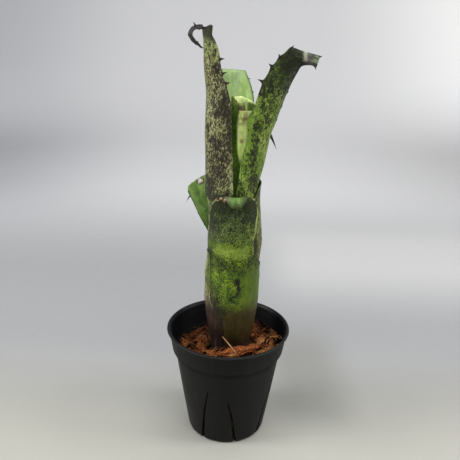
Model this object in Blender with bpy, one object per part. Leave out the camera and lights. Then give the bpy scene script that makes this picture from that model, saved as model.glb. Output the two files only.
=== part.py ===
"""A bromeliad in a black slit nursery pot: nested leaves on a short stem, set in coconut husk.

Lengths in the tables are millimetres and are scaled by MM. Azimuths are degrees seen from above:
0 is the front (-Y), 90 the right (+X), 180 the back. The origin is the centre of the pot's underside.
"""

import math
import random

import bmesh
import bpy
from mathutils import Matrix, Vector

MM = 0.001

# Pot, millimetres
POT_HEIGHT = 112.0
POT_BASE_RADIUS = 34.0
POT_WALL = 1.3
POT_FLOOR = 1.8
POT_SEGMENTS = 48
# Outer side of the pot from its base to its lip: (radius, height)
POT_OUTER = (
    (POT_BASE_RADIUS, 0.0),
    (36.9, 1.0),
    (38.3, 4.0),
    (44.2, 40.0),
    (51.0, 84.0),
    (54.6, 90.0),
    (56.2, 100.0),
    (57.2, 109.4),
    (59.4, 109.8),
    (60.1, 110.8),
    (59.4, 111.7),
    (58.0, POT_HEIGHT),
)
SLIT_PAIRS = 4
SLIT_PAIR_AZIMUTH = -11.0
# The two slits of a pair lean together: (side, height of its top)
SLITS = ((-1, 65.0), (1, 54.0))
SLIT_FOOT_HEIGHT = -2.0
SLIT_FOOT_ANGLE = 26.1
SLIT_LEAN = 0.23
SLIT_TOP_WIDTH = 1.0
SLIT_FOOT_WIDTH = 3.4
SLIT_FOOT_RADIUS = 28.0

# Trunk of nested leaf bases: (height, centre x, outer radius)
TRUNK = (
    (85.0, 1.5, 18.2),
    (97.0, 2.0, 19.2),
    (109.0, 2.2, 21.2),
    (121.0, 2.3, 23.2),
    (133.0, 2.3, 24.8),
    (146.0, 2.2, 26.0),
    (160.0, 2.5, 25.9),
)
LEAF_THICKNESS = 1.0
TIP_THICKNESS = 0.7
ACROSS = 10

# Dried tip of the left leaf: (x, z, width, elevation of its outer face)
LEFT_TIP = (
    (-29.4, 397.0, 5.4, -58),
    (-34.4, 397.0, 4.8, -92),
    (-38.4, 394.6, 4.4, -132),
    (-40.3, 389.8, 4.0, -180),
    (-37.6, 384.9, 3.2, -228),
    (-33.0, 381.6, 2.2, -240),
    (-29.2, 379.4, 1.3, -240),
)
LEFT_TIP_LIE = 48

# Medium
MEDIUM_CLEARANCE = 0.4
MEDIUM_TOP = 91.5
MEDIUM_SLOPE = 0.09
HEAP_CENTRE = (6.0, -22.0)
HEAP_HEIGHT = 7.0
HEAP_SPREAD = 14.0
MEDIUM_TURNS = 5
SOCKET_FLOOR = 60.0
SOCKET_CLEARANCE = 1.2
SOCKET_CENTRE_Y = -0.5
MEDIUM_SEGMENTS = 28

# Stem: (radius, height) from its foot to its tip
STEM_OUTLINE = (
    (9.0, 60.4),
    (15.5, 65.0),
    (18.0, 74.0),
    (18.0, 84.4),
    (6.4, 84.6),
    (5.6, 100.0),
    (3.0, 115.0),
)
STEM_SEGMENTS = 20

# Husk chips: (azimuth, distance from the trunk's axis, length, width, height, yaw)
CHIPS = (
    (8, 31.0, 24, 9.0, 4.4, 6),
    (48, 30.0, 15, 7.0, 3.8, 30),
    (84, 30.5, 16, 8.0, 4.6, 80),
    (126, 29.5, 15, 6.5, 3.6, 125),
    (168, 29.0, 17, 7.0, 4.0, 165),
    (212, 29.5, 15, 7.5, 4.4, 215),
    (252, 30.0, 16, 6.5, 3.6, 252),
    (290, 30.0, 17, 8.0, 4.8, 290),
    (326, 29.5, 16, 6.5, 3.8, 328),
    (24, 44.0, 20, 6.5, 3.4, 22),
    (62, 44.5, 18, 7.5, 4.4, 60),
    (104, 45.0, 17, 6.5, 3.8, 106),
    (148, 44.5, 19, 7.0, 3.6, 146),
    (192, 44.5, 18, 6.5, 3.8, 194),
    (234, 44.5, 17, 7.0, 3.6, 232),
    (272, 44.0, 19, 7.0, 4.4, 272),
    (308, 44.5, 18, 6.0, 3.6, 310),
    (346, 44.5, 19, 6.5, 3.4, 345),
)
CHIP_GAP = 0.7

# Straw leaning on the trunk: its two ends and its middle, with its radius
STRAW_POINTS = ((-5.2, -23.4, 113.0), (0.9, -28.8, 107.4), (6.9, -35.0, 102.5))
STRAW_RADIUS = 0.55


def direction(azimuth, elevation=0.0):
    a, e = math.radians(azimuth), math.radians(elevation)
    return Vector((math.sin(a) * math.cos(e), -math.cos(a) * math.cos(e), math.sin(e)))


# ---------------------------------------------------------------- leaf cross-sections


class Row:
    """One cross-section of a leaf: an arc from its left to its right margin."""

    def __init__(self, centre, radius, outward, sideways, left, right):
        self.centre = Vector(centre)
        self.radius = radius
        self.outward = outward
        self.sideways = sideways
        self.left = math.radians(left)
        self.right = math.radians(right)

    def point(self, share, depth):
        """share runs from 0 at the left margin to 1 at the right; depth is below the outer face."""
        angle = -self.left + share * (self.left + self.right)
        spoke = self.outward * math.cos(angle) + self.sideways * math.sin(angle)
        return self.centre + spoke * (self.radius - depth)


def ring(height, x, y, radius, azimuth, left, right):
    """A level cross-section around the upright axis through (x, y)."""
    outward = direction(azimuth)
    sideways = direction(azimuth + 90)
    return Row((x, y, height), radius, outward, sideways, left, right)


def blade(left_point, right_point, half_angle, azimuth, elevation=0.0):
    """A cross-section between two margin points that bulges towards the given direction."""
    start, end = Vector(left_point), Vector(right_point)
    sideways = (end - start).normalized()
    outward = direction(azimuth, elevation)
    outward = (outward - sideways * outward.dot(sideways)).normalized()
    bend = math.radians(half_angle)
    radius = (end - start).length / 2 / math.sin(bend)
    centre = (start + end) / 2 - outward * radius * math.cos(bend)
    return Row(centre, radius, outward, sideways, half_angle, half_angle)


def base_rows(inset, azimuth, left, right, shift=(0.0, 0.0)):
    """The part of a leaf that is wrapped into the trunk, inset from the trunk's outer radius."""
    return [
        ring(height, x + shift[0], shift[1], radius - inset, azimuth, left, right)
        for height, x, radius in TRUNK
    ]


def basal_sheath_rows():
    rows = base_rows(0.0, -72, 52, 52, (0.0, -1.0))[:4]
    return rows + [
        ring(133, 2.3, -1.0, 24.8, -76, 48, 48),
        ring(146, 2.2, -1.0, 26.0, -87, 37, 37),
        ring(160, 2.5, -1.0, 25.9, -89, 34, 34),
        ring(174, 3.0, -1.0, 26.6, -89, 32, 32),
        ring(187, 4.0, -1.3, 27.1, -90, 28, 28),
        ring(193, 4.0, -1.4, 27.3, -84, 22, 22),
        ring(199, 4.0, -1.7, 27.4, -72, 7, 7),
    ]


def front_stub_rows():
    rows = base_rows(0.85, -5, 105, 105, (0.85, -0.6))
    return rows + [
        ring(174, 3.35, -0.8, 25.15, -5, 105, 100),
        ring(187, 4.05, -1.2, 25.15, -5, 106, 75),
        ring(195, 4.1, -1.5, 25.3, -5, 98, 56),
        ring(203, 4.2, -1.8, 25.5, -5, 86, 47),
        ring(213, 3.9, -1.8, 25.5, -5, 73, 49),
        ring(228, 3.2, -1.8, 25.7, -5, 61, 57),
        ring(241, 2.4, -1.8, 26.0, -5, 52, 61),
        ring(249, 2.0, -1.9, 26.2, -5, 38, 55),
        ring(254.5, 1.8, -2.0, 26.6, -5, 30, 45),
    ]


def right_stub_rows():
    rows = base_rows(2.9, 125, 85, 88, (0.6, 0.0))
    return rows + [
        ring(174, 3.1, 0.0, 23.1, 120, 88, 90),
        ring(187, 4.4, 0.0, 23.6, 120, 90, 88),
        ring(195, 4.8, 0.0, 24.0, 120, 91, 86),
        ring(203, 4.8, 0.0, 24.7, 120, 92, 84),
        ring(213, 4.2, 0.1, 24.6, 120, 90, 84),
        ring(228, 3.3, 0.3, 24.2, 120, 86, 82),
        ring(241, 2.4, 0.4, 24.0, 120, 80, 80),
        ring(252, 2.1, 0.3, 24.0, 120, 65, 70),
        ring(261, 2.6, 0.3, 24.4, 120, 45, 58),
    ]


def left_stub_rows():
    rows = base_rows(4.9, -125, 65, 62)
    return rows + [
        ring(174, 2.7, 0.0, 21.0, -124, 62, 58),
        ring(187, 3.3, 0.0, 20.9, -122, 50, 45),
        ring(195, 3.9, 0.3, 21.4, -120, 34, 33),
        ring(201, 4.1, 0.5, 22.4, -119, 29, 27),
        ring(209, 4.4, 0.1, 24.8, -119, 27, 27),
        blade((-11.5, 24.5, 228), (-29.8, 3.0, 227), 30, -126, -30),
        blade((-16.8, 29.5, 242), (-36.0, 4.2, 240.5), 31, -128, -32),
        blade((-21.5, 32.0, 253), (-41.9, 5.8, 251.5), 29, -128, -33),
    ]


def left_leaf_rows():
    rows = base_rows(6.6, -78, 84, 82)
    rows += [
        ring(174, 2.7, 0.0, 19.3, -78, 84, 82),
        ring(187, 3.3, 0.0, 18.8, -78, 84, 82),
        ring(200, 3.8, 0.0, 19.0, -78, 84, 82),
        ring(213, 3.0, 0.0, 19.8, -78, 84, 82),
        ring(228, 1.2, 0.0, 21.0, -78, 84, 82),
        ring(241, -0.6, 0.0, 21.9, -78, 84, 82),
        ring(252, -1.8, -0.2, 22.3, -78, 84, 86),
        ring(264, -3.0, -1.0, 20.9, -78, 75, 89),
        ring(276, -5.0, -2.0, 19.2, -78, 70, 95),
        ring(290, -6.8, -3.2, 17.8, -78, 70, 99),
        ring(304, -8.3, -4.1, 16.7, -78, 70, 104),
        ring(318, -9.2, -4.7, 15.6, -78, 70, 107),
        ring(332, -9.8, -5.0, 14.8, -78, 70, 111),
        ring(345, -11.6, -5.4, 13.0, -78, 72, 111),
        ring(357, -14.8, -5.8, 10.8, -78, 76, 111),
        ring(369, -17.6, -6.0, 8.9, -78, 80, 111),
        ring(380, -19.3, -6.0, 7.5, -78, 84, 110),
        ring(389, -21.9, -6.0, 5.6, -80, 84, 105),
        ring(395, -24.6, -6.0, 3.9, -84, 70, 92),
    ]
    # The dried tip curls over to the left and back under itself, lying partly on its side
    for x, z, width, elevation in LEFT_TIP:
        centre = Vector((x, -6.0, z))
        lie = math.radians(LEFT_TIP_LIE)
        back = Vector((0.0, math.cos(lie), 0.0)) - direction(-90, elevation) * math.sin(lie)
        half = back * width / 2
        rows.append(blade(centre + half, centre - half, 25, -90, elevation))
    return rows


def right_leaf_rows():
    rows = base_rows(6.6, 90, 80, 82)
    return rows + [
        ring(174, 2.7, 0.0, 19.3, 90, 80, 82),
        ring(187, 3.3, 0.0, 18.8, 90, 80, 82),
        ring(200, 3.8, 0.0, 19.0, 90, 80, 82),
        ring(213, 3.6, 0.0, 19.4, 90, 82, 82),
        ring(228, 2.8, 0.0, 20.6, 89, 84, 82),
        ring(241, 2.2, 0.0, 21.7, 88, 83, 80),
        ring(252, 2.0, -0.1, 21.8, 87, 82, 78),
        ring(264, 4.0, -0.4, 21.1, 82, 79, 74),
        ring(276, 8.2, -0.8, 19.6, 72, 77, 72),
        ring(290, 12.8, -1.0, 17.4, 60, 75, 71),
        ring(304, 17.6, -1.0, 15.0, 50, 70, 70),
        blade((14.4, -15.0, 319), (36.0, 3.0, 314), 61, 42, -4),
        blade((17.8, -14.5, 334), (40.6, 0.0, 328), 51, 34, -8),
        blade((22.5, -13.5, 350), (45.0, -2.0, 341), 43, 28, -8),
        blade((29.0, -12.5, 363), (49.3, -4.0, 353), 37, 22, -8),
        blade((37.0, -11.5, 373.5), (52.8, -5.5, 360.5), 33, 18, -5),
        blade((47.5, -10.5, 381), (56.5, -7.5, 366.5), 28, 14, 4),
        blade((54.8, -9.0, 379.2), (60.0, -9.5, 367.5), 24, 10, 18),
        blade((60.0, -7.5, 378), (63.5, -11.5, 367.8), 20, 6, 34),
        blade((66.0, -5.5, 376.2), (66.0, -13.0, 367.2), 16, 5, 48),
        blade((71.5, -4.5, 374.6), (67.8, -13.2, 366.6), 12, 5, 52),
    ]


def back_leaf_rows():
    rows = base_rows(8.3, 185, 54, 54)
    return rows + [
        ring(174, 2.8, 0.0, 17.7, 185, 54, 54),
        ring(187, 3.5, 0.0, 17.1, 185, 52, 52),
        ring(200, 4.0, 0.0, 17.2, 184, 52, 52),
        ring(213, 3.4, 0.0, 17.6, 182, 50, 50),
        ring(228, 2.0, 0.0, 19.0, 180, 46, 46),
        ring(241, 1.0, 0.0, 20.0, 180, 42, 42),
        ring(252, 0.7, 0.2, 20.1, 180, 38, 38),
        ring(262, 0.6, 0.6, 20.2, 180, 32, 32),
        ring(275, 0.5, 1.5, 20.0, 180, 34, 34),
        blade((13.5, 17.4, 290), (-12.6, 17.4, 290), 36, 180, -3),
        blade((15.6, 17.0, 304), (-14.8, 17.0, 304), 37, 180, -3),
        blade((17.3, 17.0, 319), (-17.2, 17.0, 319), 34, 180, -3),
        blade((17.6, 17.5, 333), (-18.8, 17.5, 333), 30, 180, -3),
        blade((14.4, 18.5, 346), (-17.4, 18.5, 346), 27, 180, -3),
        blade((9.3, 19.0, 357.5), (-13.6, 19.0, 358.8), 23, 180, -3),
    ]


def inner_leaf_rows():
    rows = base_rows(8.3, 62, 54, 54)
    return rows + [
        ring(174, 2.8, 0.0, 17.7, 62, 54, 54),
        ring(187, 3.5, 0.0, 17.1, 62, 54, 52),
        ring(200, 4.0, 0.0, 17.2, 62, 50, 50),
        ring(213, 4.0, 0.0, 17.4, 62, 46, 46),
        ring(228, 3.6, 0.0, 17.8, 62, 42, 42),
        ring(241, 3.6, 0.0, 18.0, 62, 38, 38),
        ring(252, 3.8, 0.0, 18.0, 62, 38, 38),
        ring(264, 5.2, 0.2, 16.6, 58, 43, 42),
        ring(276, 7.0, 0.4, 14.9, 50, 48, 50),
        ring(290, 8.2, 0.7, 13.6, 40, 60, 58),
        ring(304, 8.4, 0.9, 12.8, 38, 64, 60),
        ring(318, 8.5, 1.0, 12.5, 38, 66, 60),
        ring(328, 8.5, 1.0, 12.5, 36, 56, 40),
    ]


def rolled_leaf_rows():
    rows = base_rows(10.0, -140, 160, 160)
    return rows + [
        ring(174, 2.8, 0.0, 16.0, -140, 160, 160),
        ring(187, 3.5, 0.0, 15.4, -140, 160, 160),
        ring(200, 4.0, 0.0, 15.2, -140, 160, 160),
        ring(213, 4.0, 0.0, 15.0, -140, 160, 160),
        ring(228, 3.6, 0.0, 15.0, -140, 160, 160),
        ring(241, 3.2, 0.0, 15.2, -140, 160, 160),
        ring(252, 3.2, 0.2, 15.0, -140, 160, 160),
        ring(264, 4.0, 0.4, 14.2, -140, 160, 160),
        ring(276, 5.0, 0.6, 13.0, -140, 160, 160),
        ring(290, 6.2, 1.0, 11.5, -140, 160, 160),
        ring(304, 6.9, 1.2, 10.8, -140, 160, 160),
        ring(318, 7.4, 1.4, 10.4, -140, 160, 160),
        ring(333, 7.6, 1.6, 10.4, -140, 150, 150),
    ]


# ---------------------------------------------------------------- objects


def material(name, colour, roughness):
    made = bpy.data.materials.new(name)
    made.use_nodes = True
    shader = made.node_tree.nodes["Principled BSDF"]
    shader.inputs["Base Color"].default_value = (*colour, 1.0)
    shader.inputs["Roughness"].default_value = roughness
    shader.inputs["Metallic"].default_value = 0.0
    return made


def add_object(name, shape, finish):
    """A mesh object from a bmesh in millimetres."""
    bmesh.ops.scale(shape, vec=(MM, MM, MM), verts=shape.verts)
    bmesh.ops.recalc_face_normals(shape, faces=shape.faces)
    mesh = bpy.data.meshes.new(name)
    shape.to_mesh(mesh)
    shape.free()
    mesh.shade_smooth()
    mesh.set_sharp_from_angle(angle=math.radians(40))
    mesh.materials.append(finish)
    made = bpy.data.objects.new(name, mesh)
    bpy.context.scene.collection.objects.link(made)
    return made


def add_leaf(name, rows, finish, across=ACROSS, thin_from=None):
    """A closed leaf: an outer and an inner sheet of quads, joined along the margins and both ends."""
    shape = bmesh.new()
    sheets = []
    for face in (0, 1):
        sheet = []
        for number, row in enumerate(rows):
            thin = thin_from is not None and number >= thin_from
            depth = face * (TIP_THICKNESS if thin else LEAF_THICKNESS)
            shares = [i / across for i in range(across + 1)]
            sheet.append([shape.verts.new(row.point(share, depth)) for share in shares])
        sheets.append(sheet)
    outer, inner = sheets
    last = len(rows) - 1
    for r in range(last):
        for i in range(across):
            shape.faces.new((outer[r][i], outer[r][i + 1], outer[r + 1][i + 1], outer[r + 1][i]))
            shape.faces.new((inner[r][i], inner[r + 1][i], inner[r + 1][i + 1], inner[r][i + 1]))
        for i in (0, across):
            shape.faces.new((outer[r][i], outer[r + 1][i], inner[r + 1][i], inner[r][i]))
    for r in (0, last):
        for i in range(across):
            shape.faces.new((outer[r][i], inner[r][i], inner[r][i + 1], outer[r][i + 1]))
    return add_object(name, shape, finish)


def add_turned(name, outline, segments, centre, finish):
    """A solid turned about the upright axis through centre, closed at both ends."""
    shape = bmesh.new()
    rings = [
        [
            shape.verts.new(
                (
                    centre[0] + radius * math.cos(math.tau * i / segments),
                    centre[1] + radius * math.sin(math.tau * i / segments),
                    height,
                )
            )
            for i in range(segments)
        ]
        for radius, height in outline
    ]
    for low, high in zip(rings, rings[1:]):
        for i in range(segments):
            j = (i + 1) % segments
            shape.faces.new((low[i], low[j], high[j], high[i]))
    shape.faces.new(rings[0])
    shape.faces.new(rings[-1])
    return add_object(name, shape, finish)


def pot_inner_radius(height):
    """Radius of the pot's inner wall at a height, along its outer outline less the wall."""
    for (r0, z0), (r1, z1) in zip(POT_OUTER, POT_OUTER[1:]):
        if z0 <= height <= z1:
            return r0 + (r1 - r0) * (height - z0) / (z1 - z0) - POT_WALL
    return POT_OUTER[-1][0] - POT_WALL


def slit_cutter(name, azimuth, side, top_height):
    """A wedge through wall and floor edge: narrow at the top, wide and swung sideways at the foot."""
    shape = bmesh.new()
    corners = []
    for height, width, near, far in (
        (SLIT_FOOT_HEIGHT, SLIT_FOOT_WIDTH, SLIT_FOOT_RADIUS, 50.0),
        (top_height, SLIT_TOP_WIDTH, 40.0, 54.0),
    ):
        angle = SLIT_FOOT_ANGLE - SLIT_LEAN * (height - SLIT_FOOT_HEIGHT)
        outward = direction(azimuth + side * angle)
        sideways = direction(azimuth + side * angle + 90)
        for distance, edge in ((near, -1), (near, 1), (far, 1), (far, -1)):
            point = outward * distance + sideways * edge * width / 2
            corners.append(shape.verts.new((point.x, point.y, height)))
    foot, top = corners[:4], corners[4:]
    shape.faces.new(foot)
    shape.faces.new(top)
    for i in range(4):
        j = (i + 1) % 4
        shape.faces.new((foot[i], foot[j], top[j], top[i]))
    bmesh.ops.triangulate(shape, faces=shape.faces)
    cutter = add_object(name, shape, bpy.data.materials["black_plastic"])
    cutter.hide_render = True
    cutter.display_type = "WIRE"
    return cutter


def add_pot(finish):
    inner = [
        (POT_OUTER[-1][0] - POT_WALL / 2, POT_HEIGHT - 0.3),
        *((radius - POT_WALL, height) for radius, height in reversed(POT_OUTER[2:8])),
        (POT_BASE_RADIUS - 0.5, POT_FLOOR),
    ]
    pot = add_turned("pot", (*POT_OUTER, *inner), POT_SEGMENTS, (0.0, 0.0), finish)
    for pair in range(SLIT_PAIRS):
        for side, top_height in SLITS:
            azimuth = SLIT_PAIR_AZIMUTH + pair * 360 / SLIT_PAIRS
            cutter = slit_cutter(f"slit_cutter_{pair}_{side + 1}", azimuth, side, top_height)
            cut = pot.modifiers.new(cutter.name, "BOOLEAN")
            cut.operation = "DIFFERENCE"
            cut.solver = "EXACT"
            cut.object = cutter
    return pot


def trunk_at(height):
    """Centre x and outer radius of the trunk at a height."""
    height = max(height, TRUNK[0][0])
    for (z0, x0, r0), (z1, x1, r1) in zip(TRUNK, TRUNK[1:]):
        if height <= z1:
            share = (height - z0) / (z1 - z0)
            return x0 + share * (x1 - x0), r0 + share * (r1 - r0)
    return TRUNK[-1][1], TRUNK[-1][2]


def medium_height(x, y):
    """Height of the medium's surface: fuller on the right, and heaped against the trunk's front."""
    away = math.hypot(x - HEAP_CENTRE[0], y - HEAP_CENTRE[1]) / HEAP_SPREAD
    return MEDIUM_TOP + MEDIUM_SLOPE * x + HEAP_HEIGHT * math.exp(-away * away / 2)


def add_medium(finish):
    """The packed medium: follows the pot's wall, with a socket around the plant's foot."""
    shape = bmesh.new()
    rings = []

    def add_ring(centre, radius_at, height_at):
        turn = []
        for i in range(MEDIUM_SEGMENTS):
            azimuth = 360 * i / MEDIUM_SEGMENTS
            spoke = direction(azimuth)
            x = centre[0] + spoke.x * radius_at
            y = centre[1] + spoke.y * radius_at
            turn.append(shape.verts.new((x, y, height_at(x, y))))
        rings.append(turn)

    def flat(height):
        return lambda x, y: height

    axis = (0.0, 0.0)
    inner_wall = math.cos(math.pi / POT_SEGMENTS)
    for height in (POT_FLOOR + MEDIUM_CLEARANCE, 5.0, 40.0, 79.0):
        radius = pot_inner_radius(max(height, 4.5)) * inner_wall - MEDIUM_CLEARANCE
        if height < 5.0:
            radius = POT_BASE_RADIUS - 2.5
        add_ring(axis, radius, flat(height))
    edge = pot_inner_radius(84.0) * inner_wall - MEDIUM_CLEARANCE
    add_ring(axis, edge, lambda x, y: medium_height(x, y) - 1.0)
    x, radius = trunk_at(100.0)
    mouth = radius + SOCKET_CLEARANCE + 0.5
    for turn in range(MEDIUM_TURNS):
        share = turn / (MEDIUM_TURNS - 1)
        centre = (x * share, SOCKET_CENTRE_Y * share)
        add_ring(centre, (edge - 3.0) * (1 - share) + mouth * share, medium_height)
    x, radius = trunk_at(85.0)
    add_ring((x, SOCKET_CENTRE_Y), radius + SOCKET_CLEARANCE + 0.5, flat(80.0))
    add_ring((x, SOCKET_CENTRE_Y), radius + SOCKET_CLEARANCE, flat(SOCKET_FLOOR))
    for low, high in zip(rings, rings[1:]):
        for i in range(MEDIUM_SEGMENTS):
            j = (i + 1) % MEDIUM_SEGMENTS
            shape.faces.new((low[i], low[j], high[j], high[i]))
    shape.faces.new(rings[0])
    shape.faces.new(rings[-1])
    return add_object("growing_medium", shape, finish)


def add_chip(number, chip, finish):
    """An angular shard of husk: a five-sided bar with pinched ends, lying on the medium."""
    azimuth, distance, length, width, height, yaw = chip
    shade = random.Random(number)
    shape = bmesh.new()
    x, _ = trunk_at(97.0)
    place = direction(azimuth) * distance
    turn = Matrix.Rotation(math.radians(yaw), 3, "Z")
    sections = []
    for share, size in ((-0.5, 0.35), (-0.22, 0.95), (0.2, 1.0), (0.5, 0.45)):
        section = []
        for side, level in ((-1, 0.0), (1, 0.0), (0.85, 0.7), (0.1, 1.0), (-0.8, 0.6)):
            wobble = 1 + shade.uniform(-0.14, 0.14)
            point = turn @ Vector((share * length * wobble, side * width / 2 * size, 0.0))
            px, py = place.x + x + point.x, place.y + point.y
            lift = CHIP_GAP + level * height * size * (1 + shade.uniform(-0.15, 0.15))
            section.append(shape.verts.new((px, py, medium_height(px, py) + lift)))
        sections.append(section)
    for low, high in zip(sections, sections[1:]):
        for i in range(5):
            j = (i + 1) % 5
            shape.faces.new((low[i], low[j], high[j], high[i]))
    shape.faces.new(sections[0])
    shape.faces.new(sections[-1])
    bmesh.ops.triangulate(shape, faces=shape.faces)
    return add_object(f"husk_chip_{number:02d}", shape, finish)


def add_straw(finish):
    curve = bpy.data.curves.new("husk_straw", "CURVE")
    curve.dimensions = "3D"
    curve.bevel_depth = STRAW_RADIUS * MM
    curve.bevel_resolution = 1
    curve.use_fill_caps = True
    line = curve.splines.new("POLY")
    line.points.add(len(STRAW_POINTS) - 1)
    for knot, point in zip(line.points, STRAW_POINTS):
        knot.co = (*(value * MM for value in point), 1.0)
    curve.materials.append(finish)
    straw = bpy.data.objects.new("husk_straw", curve)
    bpy.context.scene.collection.objects.link(straw)
    return straw


def main():
    for old in list(bpy.data.objects):
        bpy.data.objects.remove(old, do_unlink=True)
    black = material("black_plastic", (0.012, 0.013, 0.013), 0.5)
    husk = material("coconut_husk", (0.23, 0.085, 0.03), 0.9)
    mottled = material("leaf_mottled", (0.10, 0.13, 0.04), 0.5)
    green = material("leaf_green", (0.14, 0.28, 0.04), 0.45)
    pale = material("leaf_pale", (0.30, 0.45, 0.16), 0.45)
    straw = material("straw", (0.55, 0.36, 0.18), 0.8)

    add_pot(black)
    add_medium(husk)
    x, _ = trunk_at(85.0)
    add_turned("stem", STEM_OUTLINE, STEM_SEGMENTS, (x, SOCKET_CENTRE_Y), pale)
    add_leaf("basal_sheath", basal_sheath_rows(), mottled)
    add_leaf("leaf_front_stub", front_stub_rows(), green, across=14)
    add_leaf("leaf_right_stub", right_stub_rows(), pale, across=12)
    add_leaf("leaf_left_stub", left_stub_rows(), green)
    left_rows = left_leaf_rows()
    add_leaf("leaf_left", left_rows, mottled, across=12, thin_from=len(left_rows) - 7)
    add_leaf("leaf_right", right_leaf_rows(), green, across=12)
    add_leaf("leaf_back", back_leaf_rows(), pale)
    add_leaf("leaf_inner", inner_leaf_rows(), pale, across=8)
    add_leaf("leaf_rolled", rolled_leaf_rows(), pale, across=16)
    for number, chip in enumerate(CHIPS, 1):
        add_chip(number, chip, husk)
    add_straw(straw)


main()
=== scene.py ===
"""Looks of the potted bromeliad: fine leaves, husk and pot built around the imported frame.

Tables and shapes are in millimetres in the frame's axes and are scaled by MM when a mesh is made.
Azimuths are degrees seen from above: 0 is the front (-Y), 90 the right (+X), 180 the back.
"""

import math
import random

import bmesh
import bpy
import numpy as np
from mathutils import Matrix, Vector


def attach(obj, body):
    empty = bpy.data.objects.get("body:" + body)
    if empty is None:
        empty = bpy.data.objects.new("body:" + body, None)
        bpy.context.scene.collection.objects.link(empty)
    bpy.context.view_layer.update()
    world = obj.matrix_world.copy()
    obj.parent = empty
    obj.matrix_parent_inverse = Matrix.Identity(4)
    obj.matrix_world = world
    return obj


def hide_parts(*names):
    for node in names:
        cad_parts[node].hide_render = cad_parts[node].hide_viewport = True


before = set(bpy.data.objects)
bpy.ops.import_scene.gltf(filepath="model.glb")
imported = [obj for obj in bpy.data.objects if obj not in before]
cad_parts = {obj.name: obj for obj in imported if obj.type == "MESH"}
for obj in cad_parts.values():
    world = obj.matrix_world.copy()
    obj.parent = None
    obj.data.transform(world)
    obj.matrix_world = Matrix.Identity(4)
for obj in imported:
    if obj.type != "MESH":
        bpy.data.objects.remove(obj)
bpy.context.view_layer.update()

MM = 0.001

# ---------------------------------------------------------------- numbers, colours and noise


def smooth(value, low, high):
    """A soft step from 0 at low to 1 at high; low may be above high."""
    t = np.clip((np.asarray(value, float) - low) / (high - low), 0, 1)
    return t * t * (3 - 2 * t)


def between(value, start, full, fading, end):
    """A soft window that opens from start to full and closes from fading to end."""
    return smooth(value, start, full) * smooth(value, end, fading)


def bell(value, centre, width):
    return np.exp(-(((value - centre) / width) ** 2))


def mix(a, b, share):
    """Blend of two colours or colour arrays by an array of shares."""
    share = np.clip(np.asarray(share, float), 0, 1)[..., None]
    return a * (1 - share) + b * share


def srgb(red, green, blue):
    """A display colour, 0 to 255, as linear light."""
    display = np.array([red, green, blue], float) / 255
    return np.where(display <= 0.04045, display / 12.92, ((display + 0.055) / 1.055) ** 2.4)


def lattice(cell, seed):
    """A fixed random value from 0 to 1 for each whole-numbered cell."""
    h = cell[..., 0] * 73856093 ^ cell[..., 1] * 19349663 ^ cell[..., 2] * 83492791 ^ seed * 40503
    h = ((h ^ (h >> 13)) * 1274126177) & 0xFFFFFFFF
    return ((h ^ (h >> 16)) & 0xFFFF) / 65535


def value_noise(points, size, seed):
    """Smooth random values from 0 to 1 that change over about size millimetres."""
    q = np.asarray(points, float) / size
    cell = np.floor(q).astype(np.int64)
    f = q - cell
    f = f * f * (3 - 2 * f)
    total = np.zeros(q.shape[:-1])
    for corner in np.ndindex(2, 2, 2):
        weight = np.prod(np.where(corner, f, 1 - f), axis=-1)
        total += weight * lattice(cell + np.array(corner), seed)
    return total


def fractal(points, size, seed, octaves=3):
    """Value noise summed over octaves, still from 0 to 1."""
    weights = 0.5 ** np.arange(octaves)
    layers = [value_noise(points, np.asarray(size) * half, seed + i) for i, half in enumerate(weights)]
    return sum(weight * layer for weight, layer in zip(weights, layers)) / weights.sum()


def clouds(points, size, seed, low=0.3, high=0.7):
    """Fractal noise with firmer clouds, 0 below low and 1 above high."""
    return smooth(fractal(points, size, seed), low, high)


def direction(azimuth, elevation=0):
    a, e = math.radians(azimuth), math.radians(elevation)
    return np.array([math.sin(a) * math.cos(e), -math.cos(a) * math.cos(e), math.sin(e)])


def unit(vector):
    vector = np.asarray(vector, float)
    return vector / np.maximum(np.linalg.norm(vector, axis=-1, keepdims=True), 1e-9)


# ---------------------------------------------------------------- leaf cross-sections, as in the CAD


def arc(centre, radius, outward, sideways, left, right):
    """A cross-section whose points are read at shares from its left to its right margin."""

    def points(shares):
        angle = np.radians(shares * (left + right) - left)[:, None]
        return centre + (outward * np.cos(angle) + sideways * np.sin(angle)) * radius

    return points


def ring(height, x, y, radius, azimuth, left, right):
    """A level cross-section around the upright axis through (x, y)."""
    return arc((x, y, height), radius, direction(azimuth), direction(azimuth + 90), left, right)


def blade(left_point, right_point, half_angle, azimuth, elevation=0):
    """A cross-section between two margin points that bulges towards the given direction."""
    start, end = np.array(left_point), np.array(right_point)
    sideways = unit(end - start)
    outward = direction(azimuth, elevation)
    outward = unit(outward - sideways * (outward @ sideways))
    bend = math.radians(half_angle)
    radius = np.linalg.norm(end - start) / 2 / math.sin(bend)
    centre = (start + end) / 2 - outward * radius * math.cos(bend)
    return arc(centre, radius, outward, sideways, half_angle, half_angle)


# Trunk of nested leaf bases: (height, centre x, outer radius)
TRUNK = (
    (85, 1.5, 18.2), (97, 2, 19.2), (109, 2.2, 21.2), (121, 2.3, 23.2),
    (133, 2.3, 24.8), (146, 2.2, 26), (160, 2.5, 25.9),
)


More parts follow.
